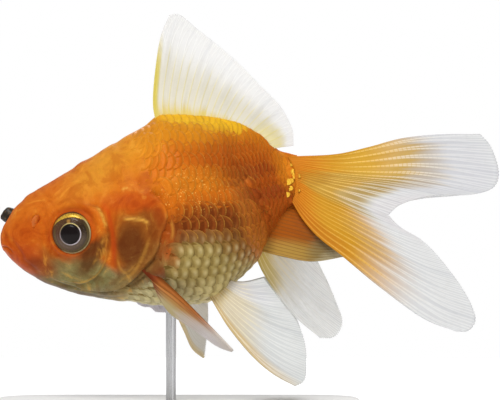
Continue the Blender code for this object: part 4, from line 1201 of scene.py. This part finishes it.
def tail_sheet():
    """The left tail fin's whole sheet, its upper and lower part joined along the forked ray."""
    upper = patch((TAIL_ROOT[:2] + TAIL_FORK_RAY[:1], TAIL_TOP_MARGIN, TAIL_TOP, TAIL_FORK_RAY), 150, 90)
    lower = patch((TAIL_FORK_RAY[:1] + TAIL_ROOT[2:], TAIL_LOW_MARGIN, TAIL_FORK_RAY, TAIL_LOW), 150, 90)
    sheet = np.concatenate([upper, lower[:, 1:]], axis=1)
    outward = np.linspace(0, 1, len(sheet))[:, None]
    sheet[..., 2] *= 1.30 - 0.30 * rise_over(outward, 0.0, 0.14)
    return sheet


def make_fins():
    """Every fin's sheet and the breast fold; returns the tail's two sheets, which scales lie on too."""
    dorsal = fin_finish(
        "dorsal_fin_skin", ((0.74, 0.6, 0.2), (0.74, 0.71, 0.6), (0.88, 0.88, 0.87)), (0.16, 0.62),
        DORSAL_RAYS, (0.76, 0.66, 0.2), 0.55, 0.22, wide=0.17, patches=(
            (0.0, 0.25, 0.035, 0.5, 1.0, (0.72, 0.6, 0.12)), (0.5, -0.02, 0.7, 0.14, 0.6, (0.8, 0.64, 0.18)),
            (0.93, 0.2, 0.16, 0.5, 0.7, (0.78, 0.68, 0.3))))
    golden = fin_finish(
        "tail_fin_skin", ((0.6, 0.185, 0.009), (0.6, 0.29, 0.02), (0.69, 0.7, 0.71)), (0.16, 0.57),
        TAIL_RAYS, (0.86, 0.5, 0.06), 0.45, 0.2, 0.55, wide=0.24, patches=(
            (0.28, 0.4, 0.12, 0.22, 0.65, (0.46, 0.31, 0.07)),
            (0.46, 0.4, 0.15, 0.3, 0.95, (0.56, 0.32, 0.05)),
            (0.47, 0.62, 0.12, 0.18, 0.55, (0.5, 0.41, 0.2)), (0.5, 0.98, 0.14, 0.2, 0.8, (0.7, 0.68, 0.7)),
            (0.26, 0.63, 0.24, 0.15, 0.95, (0.46, 0.31, 0.09)),
            (0.4, 0.16, 0.16, 0.12, 0.6, (0.42, 0.2, 0.02)),
            (0.97, 0.06, 0.1, 0.32, 0.6, (0.52, 0.15, 0.01)), (0.1, 0.45, 0.14, 0.2, 0.5, (0.72, 0.44, 0.06)),
            (0.75, 0.48, 0.12, 0.16, 0.5, (0.56, 0.32, 0.06)), (0.18, 0.8, 0.2, 0.2, 0.5, (0.6, 0.6, 0.66))))
    white = fin_finish(
        "pelvic_fin_skin", ((0.8, 0.62, 0.28), (0.7, 0.62, 0.46), (0.66, 0.68, 0.68)), (0.14, 0.5),
        PELVIC_RAYS, (0.88, 0.82, 0.62), 0.7, 0.12, patches=(
            (0.0, 0.3, 0.09, 0.7, 0.8, (0.6, 0.42, 0.16)), (0.85, 0.4, 0.2, 0.5, 0.6, (0.7, 0.7, 0.74))))
    pale = fin_finish(
        "far_anal_fin_skin", ((0.74, 0.56, 0.2), (0.86, 0.8, 0.64), (0.9, 0.91, 0.9)), (0.16, 0.4),
        FAR_ANAL_RAYS, (0.96, 0.86, 0.58), 0.5, 0.45, 0.4, patches=(
            (0.0, 0.15, 0.25, 0.25, 0.8, (0.62, 0.46, 0.1)), (0.8, 0.2, 0.3, 0.3, 0.6, (0.88, 0.88, 0.92))))
    amber = fin_finish(
        "near_anal_fin_skin", ((0.36, 0.085, 0.005), (0.27, 0.085, 0.008), (0.28, 0.2, 0.08)), (0.45, 0.85),
        NEAR_ANAL_RAYS, (0.15, 0.07, 0.014), 0.6, 0.12, patches=(
            (0.0, 0.45, 0.34, 0.6, 0.85, (0.46, 0.29, 0.06)), (0.4, 0.7, 0.5, 0.22, 0.8, (0.22, 0.17, 0.07)),
            (0.0, 0.85, 0.3, 0.2, 0.6, (0.5, 0.46, 0.28))))
    breast = fin_finish(
        "pectoral_fin_skin", ((0.2, 0.032, 0.008), (0.5, 0.26, 0.07), (0.66, 0.58, 0.52)), (0.2, 0.66),
        PECTORAL_RAYS, (0.62, 0.36, 0.12), 0.5, 0.12, patches=(
            (1.0, 0.35, 0.55, 0.4, 0.9, (0.5, 0.44, 0.24)), (0.8, 0.75, 0.55, 0.35, 0.8, (0.64, 0.58, 0.58)),
            (0.0, 0.3, 0.26, 0.46, 0.9, (0.4, 0.115, 0.022)),
            # the narrow bright patch along the leading ridge is a painted highlight
            (0.12, 0.25, 0.05, 0.25, 0.7, (0.7, 0.28, 0.06)),
            (0.2, 0.02, 0.9, 0.14, 0.9, (0.2, 0.03, 0.008))))
    far_breast = fin_finish(
        "far_pectoral_fin_skin", ((0.46, 0.2, 0.05), (0.6, 0.46, 0.28), (0.8, 0.76, 0.7)), (0.2, 0.5),
        FAR_PECTORAL_RAYS, (0.66, 0.5, 0.22), 0.5, 0.12,
        patches=((0.0, 0.6, 0.12, 0.6, 0.8, (0.8, 0.58, 0.2)),))
    lilac = fin_finish(
        "breast_fold_skin", ((0.44, 0.4, 0.38), (0.54, 0.5, 0.54), (0.6, 0.56, 0.61)), (0.2, 0.7),
        FOLD_RAYS, (0.4, 0.34, 0.34), 0.5, 0.1)

    def fin(name, grid, material, rays, shape, slot, *nodes):
        """The shape is thickness at root and tip, fold, ripples, notches and the leading spine."""
        return wear(fin_piece(name, grid, material, rays, *shape), slot, *nodes)

    fin("dorsal_fin_sheet", patch(DORSAL, 300, 100), dorsal, DORSAL_RAYS, (1.7, 0.25, 0.15, 1.5, 0.002, 0.35),
        "white_fin", "dorsal_fin")
    fin("pectoral_sheet_left", patch(PECTORAL_LEFT, 90, 90), breast, PECTORAL_RAYS,
        (2.4, 0.25, 0.15, 1.0, 0.02, 0.5), "golden_fin", "pectoral_fin_left")
    fin("pectoral_sheet_right", patch(PECTORAL_RIGHT, 110, 80), far_breast, FAR_PECTORAL_RAYS,
        (2.0, 0.25, 0.2, 1.0, 0.02, 0.3), "golden_fin", "pectoral_fin_right")
    fin("anal_sheet_left", patch(ANAL_LEFT, 110, 80), amber, NEAR_ANAL_RAYS,
        (1.6, 0.25, 0.25, 1.2, 0.02, 0.25), "golden_fin", "anal_fin_left")
    fin("anal_sheet_right", patch(ANAL_RIGHT, 130, 80), pale, FAR_ANAL_RAYS,
        (1.6, 0.25, 0.40, 2.2, 0.015, 0.25), "white_fin", "anal_fin_right")
    tail = tail_sheet()
    tails = []
    for word, edges, sheet in (("left", PELVIC, tail), ("right", mirrored(PELVIC), tail * (1.0, 1.0, -1.0))):
        fin("pelvic_sheet_" + word, patch(edges, 150, 90), white, PELVIC_RAYS,
            (2.0, 0.25, 0.45, 2.5, 0.012, 0.35), "white_fin", "pelvic_fin_" + word)
        tails.append(fin("tail_sheet_" + word, sheet, golden, TAIL_RAYS, (0.9, 0.22, 0.45, 2.5, 0.004, 0.2),
                         "golden_fin", "tail_upper_" + word, "tail_lower_" + word))
    fin("breast_fold_sheet", patch(BREAST_FOLD, 90, 24), lilac, FOLD_RAYS, (0.7, 0.25, 0.30, 3.0, 0.10),
        "white_fin", "breast_fold")
    return tails


# ---------------------------------------------------------------- eyes and snout flaps

def eye_place(side, across, turn, depth):
    """A place on an eye: across from its axis, round it, and out from the skin, in millimetres."""
    back = across * np.cos(turn)
    forward, outward = math.sin(EYE_TURN), math.cos(EYE_TURN)
    surface = float(half_width(np.array(EYE_PLACE[0]), np.array(EYE_PLACE[1])))
    s = EYE_PLACE[0] + back * outward - depth * forward
    h = EYE_PLACE[1] + across * np.sin(turn)
    return np.stack([s, h, side * (surface + back * forward + depth * outward)], -1)


def eye_finish():
    """A dark iris between a gold crescent and a fine pale ring, under a wet clear surface, with painted
    reflections in the iris.
    """
    material, tree, shader = finish("fish_eye", Coat_Roughness=0.04, Coat_IOR=1.376, Specular_IOR_Level=0.1)
    spot = map_place(tree, "eye_place")
    right, up = ((part - 0.5) * EYE_MAP for part in split(spot)[:2])
    radius = calc("SQRT", right * right + up * up)
    grain = noise(spot, 60.0, 4.0)
    wobble = (grain - 0.5) * 0.30 + radius

    def band(value, middle, half):
        return ramp(abs(value - middle), half * 1.5, half * 0.5)

    colour = blend(ramp(right, -3.6, 2.8), (0.080, 0.032, 0.016), (0.024, 0.013, 0.005))
    colour = blend(ramp(up, 1.0, 3.8, 0.0, 0.7), colour, (0.085, 0.040, 0.014))
    # painted reflection: the lower iris paler and greyer
    lilac = ramp(up, 0.5, -2.5) * ramp(wobble, 4.5, 3.2)
    colour = blend(lilac * 0.8, colour, (0.125, 0.086, 0.060))
    colour = blend(ramp(grain, 0.50, 0.72, 0.0, 0.35), colour, (0.19, 0.125, 0.06))
    # painted reflection: a gold notch just above the pupil
    notch = band(right, 0.1, 0.40) * band(up, 3.15, 0.45)
    colour = blend(notch * 0.8, colour, (0.40, 0.20, 0.045))
    # the gold crescent is thickest above and runs out at both sides; a fine pale line follows the rest
    tilt = right * 0.10 + up
    inner = ramp(tilt, 2.2, 4.6) * -1.05 + 5.02
    crescent = ramp(wobble - inner, -0.08, 0.12) * ramp(tilt, 1.8, 2.8)
    gold = blend(ramp(grain, 0.35, 0.55), (0.34, 0.17, 0.02), (0.66, 0.40, 0.045))
    colour = blend(crescent, colour, gold)
    colour = blend(band(radius, 4.35, 0.30) * ramp(up, 2.6, 1.2) * 0.6, colour, (0.10, 0.07, 0.02))
    colour = blend(band(radius, 4.78, 0.13) * ramp(right - up, -1.0, 2.5) * 0.9, colour, (0.46, 0.38, 0.18))
    pale = blend(ramp(up, 0.0, 2.2), (0.52, 0.47, 0.52), (0.55, 0.44, 0.16))
    ring = band(radius, PUPIL + 0.16, 0.11) * ramp(right, -2.8, 0.6, 0.35, 1.0)
    colour = blend(ring, colour, pale)
    black = ramp(radius, PUPIL + 0.08, PUPIL - 0.08)
    colour = blend(black, colour, (0.006, 0.003, 0.003))
    colour = blend(ramp(radius, EYE_RING, 5.20), colour, (0.12, 0.035, 0.008))
    clear = 1.0 - black
    connect(shader, Base_Color=colour, Roughness=grain * 0.2 + 0.25, Metallic=crescent * 0.3,
            Coat_Weight=clear * 0.1 + 0.2, Normal=bump(grain * clear, 0.2))
    return material


def make_eye(side, word, material):
    """A globe with a dished iris and the lens standing out of its pupil."""
    sunk = EYE_FLATNESS * math.sqrt(EYE_RADIUS**2 - EYE_RING**2)
    segments = 96
    profile = []
    for reach in np.linspace(0.0, 1.0, 44)[1:]:
        across = EYE_RADIUS * math.sin(reach * math.pi / 2)
        depth = EYE_RADIUS * EYE_FLATNESS * math.cos(reach * math.pi / 2) - sunk
        depth -= 0.42 * float(mound(np.array(across - 3.7), 0.75))
        depth += 0.30 * float(rise_over(np.array(across), PUPIL + 0.15, PUPIL - 0.5)) - 0.25 * (across < 3.2)
        profile.append((across, depth))
    for reach in np.linspace(0.0, 1.0, 14)[1:-1]:
        profile.append((EYE_RADIUS * math.cos(reach * math.pi / 2),
                        -EYE_RADIUS * EYE_FLATNESS * math.sin(reach * math.pi / 2) - sunk))
    turn = 2 * math.pi * np.arange(segments) / segments
    rings = [eye_place(side, across, turn, depth + 0 * turn) for across, depth in profile]
    front = eye_place(side, 0.0, np.zeros(1), np.array([profile[0][1]]))
    rear = eye_place(side, 0.0, np.zeros(1), np.array([-EYE_RADIUS * EYE_FLATNESS - sunk]))
    points = np.concatenate([front] + rings + [rear])
    faces = [face[::-1] for face in closed_rings(len(rings), segments)]
    eye = new_piece("eye_globe_" + word, world(points), faces, material)
    turn_outward(eye)
    around = np.stack([np.cos(turn), np.sin(turn)], -1) / EYE_MAP
    flat = [0.5 + across * around for across, _ in profile]
    give_map(eye, "eye_place", np.concatenate([[(0.5, 0.5)], *flat, [(0.5, 0.5)]]))
    return wear(eye, "eye", "eye_" + word)


def flap_finish(name, colour, tip, turns_at):
    material, tree, shader = finish(name, Coat_Weight=0.1, Coat_Roughness=0.3, Specular_IOR_Level=0.2,
                                    Subsurface_Weight=0.05, Subsurface_Scale=0.0008)
    toned = blend(ramp(attribute(tree, "reach"), turns_at - 0.18, turns_at + 0.18), colour, tip)
    mottle = use(tree, MOTTLED, Place=object_place(tree), Colour=toned, Amount=0.35)
    connect(shader, Base_Color=mottle["Colour"], Roughness=mottle["Roughness"] + 0.15,
            Normal=bump(mottle["Height"], 0.5, 0.0002))
    return material


def make_flap(word, slot, root, tip, width, thickness, curl, blunt, material):
    """A soft lobe, rounded at its tip and curled a little along its length."""
    root, tip = np.array(root, float), np.array(tip, float)
    along = (tip - root) / np.linalg.norm(tip - root)
    flat = np.cross(along, (0.0, 0.0, 1.0))
    flat /= np.linalg.norm(flat)
    through = np.cross(along, flat)
    around, steps = 28, 18
    turn = 2 * math.pi * np.arange(around) / around
    points, reaches = [root - along * 0.4], [0.0]
    for reach in np.linspace(0.0, 1.0, steps):
        rounding = (max(reach - blunt, 0.0) / (1.0 - blunt)) ** 2
        share = (1.0 + 0.22 * math.sin(math.pi * reach)) * math.sqrt(max(1.0 - rounding, 0.02))
        centre = root + (tip - root) * reach + through * curl * reach**2
        ruffle = 1.0 + 0.10 * np.sin(3 * turn + 5 * reach)
        ring = centre + np.outer(np.cos(turn) * ruffle, flat) * (0.5 * width * share)
        ring = ring + np.outer(np.sin(turn), through) * (0.5 * thickness * share)
        points.extend(ring)
        reaches += [reach] * around
    points.append(tip + along * 0.05 + through * curl)
    reaches.append(1.0)
    flap = new_piece("snout_flap_" + word, world(points), closed_rings(steps, around), material)
    turn_outward(flap)
    give(flap, "reach", "FLOAT", reaches)
    return wear(flap, slot, "nostril_flap_" + word)


# ---------------------------------------------------------------- stand, floor, light and camera

def stand_finishes():
    """Satin lacquer on the base and fine lengthwise brushing on the rod."""
    lacquer, tree, shader = finish("satin_stand_lacquer", Coat_Weight=0.25, Coat_Roughness=0.25)
    place = object_place(tree)
    wide = noise(place, 60.0)
    connect(shader, Base_Color=blend(ramp(wide, 0.3, 0.7), (0.80, 0.80, 0.79), (0.84, 0.84, 0.83)),
            Roughness=wide * 0.16 + 0.34, Normal=bump(noise(place, 900.0, 2.0), 0.15, 0.00008))
    steel, tree, shader = finish("brushed_steel_rod", Metallic=1.0)
    lines = noise(vector("MULTIPLY", object_place(tree), (1.0, 1.0, 0.03)), 9000.0, 2.0)
    connect(shader, Base_Color=blend(lines, (0.56, 0.56, 0.57), (0.68, 0.68, 0.69)),
            Roughness=lines * 0.18 + 0.2, Normal=bump(lines, 0.2, 0.00005))
    for node, material in (("stand_base", lacquer), ("stand_rod", steel)):
        solid = bpy.data.objects[node]
        solid.data.materials.clear()
        solid.data.materials.append(material)


def make_studio():
    """Three soft lamps, an even pale surround, a white floor and a long lens from the left side."""
    scene = bpy.context.scene
    scene.view_settings.view_transform = "Standard"
    scene.view_settings.look = "None"
    surround = bpy.data.worlds.new("studio")
    surround.use_nodes = True
    tree = surround.node_tree
    tree.nodes.clear()
    soft = wire(tree, "ShaderNodeBackground", Color=(0.97, 0.98, 1.0), Strength=0.33)
    seen = wire(tree, "ShaderNodeBackground", Color=(1.0, 1.0, 1.0), Strength=1.0)
    straight = wire(tree, "ShaderNodeLightPath", out="Is Camera Ray")
    both = wire(tree, "ShaderNodeMixShader", i0=straight, i1=soft, i2=seen)
    add(tree, "ShaderNodeOutputWorld", i0=both)
    scene.world = surround
    for name, place, size, power, colour in (
            ("key_softbox", (-0.20, -0.52, 0.72), 0.34, 5.2, (1.0, 0.985, 0.96)),
            ("fill_softbox", (0.55, -0.55, 0.22), 0.50, 0.7, (0.97, 0.985, 1.0)),
            ("rear_softbox", (0.10, 0.65, 0.55), 0.60, 2.6, (1.0, 1.0, 1.0))):
        lamp = bpy.data.lights.new(name, "AREA")
        lamp.shape = "SQUARE"
        lamp.size = size
        lamp.energy = power
        lamp.color = colour
        made = put(name, lamp)
        made.location = place
        made.rotation_euler = (Vector(LAMPS_AIM) - Vector(place)).to_track_quat("-Z", "Y").to_euler()
    paint, tree, shader = finish("pale_floor", Specular_IOR_Level=0.1, Emission_Strength=0.28,
                                 Emission_Color=(1.0, 1.0, 1.0))
    cloud = noise(object_place(tree), 40.0)
    connect(shader, Base_Color=blend(cloud, (0.94, 0.94, 0.94), (0.96, 0.96, 0.96)),
            Roughness=cloud * 0.1 + 0.7)
    turn = 2 * math.pi * np.arange(96) / 96
    rim = np.stack([FLOOR_RADIUS * np.cos(turn), FLOOR_RADIUS * np.sin(turn), 0 * turn], -1)
    floor = new_piece("studio_floor", rim, [tuple(range(96))], paint, False)
    camera = bpy.data.cameras.new("camera")
    camera.lens = 288.0
    camera.sensor_width = 36.0
    camera.clip_start, camera.clip_end = 0.05, 20.0
    made = put("camera", camera)
    made.location = (0.01825, -1.0, 0.056)
    made.rotation_euler = (math.radians(90.0), 0.0, 0.0)
    scene.camera = made


def main():
    make_studio()
    stand_finishes()
    skin = wear(make_skin(skin_finish()), "orange_skin", "head", "lower_jaw", "trunk", "tail_stalk",
                "gill_cover_left", "gill_cover_right")
    tails = make_fins()
    shape = scale_shape()
    bed = scale_bed(skin, *tails)
    tree = scale_tree()
    scales = scale_finish()
    for side, word in ((-1.0, "left"), (1.0, "right")):
        make_scales(side, word, bed, shape, tree, scales)
    bpy.data.objects.remove(shape)
    bpy.data.objects.remove(bed)
    eye = eye_finish()
    for side, word in ((-1.0, "left"), (1.0, "right")):
        make_eye(side, word, eye)
    near_y = float(half_width(np.array(10.4), np.array(3.6)))
    far_y = float(half_width(np.array(3.9), np.array(5.2)))
    make_flap("left", "orange_skin", (11.0, 3.2, 1.0 - near_y), (9.3, 4.1, -near_y - 0.9), 2.5, 0.8, 0.1,
              0.62, flap_finish("orange_flap_skin", (0.50, 0.085, 0.008), (0.62, 0.15, 0.016), 0.5))
    make_flap("right", "dark_skin", (4.9, 4.7, far_y - 0.6), (2.15, 8.0, far_y + 0.5), 3.3, 1.8, 0.0, 0.86,
              flap_finish("dark_flap_skin", (0.34, 0.07, 0.010), (0.022, 0.016, 0.009), 0.16))
    for piece in OUTER_PIECES:
        print(piece.name, sum(len(face.vertices) - 2 for face in piece.data.polygons), "triangles")


main()
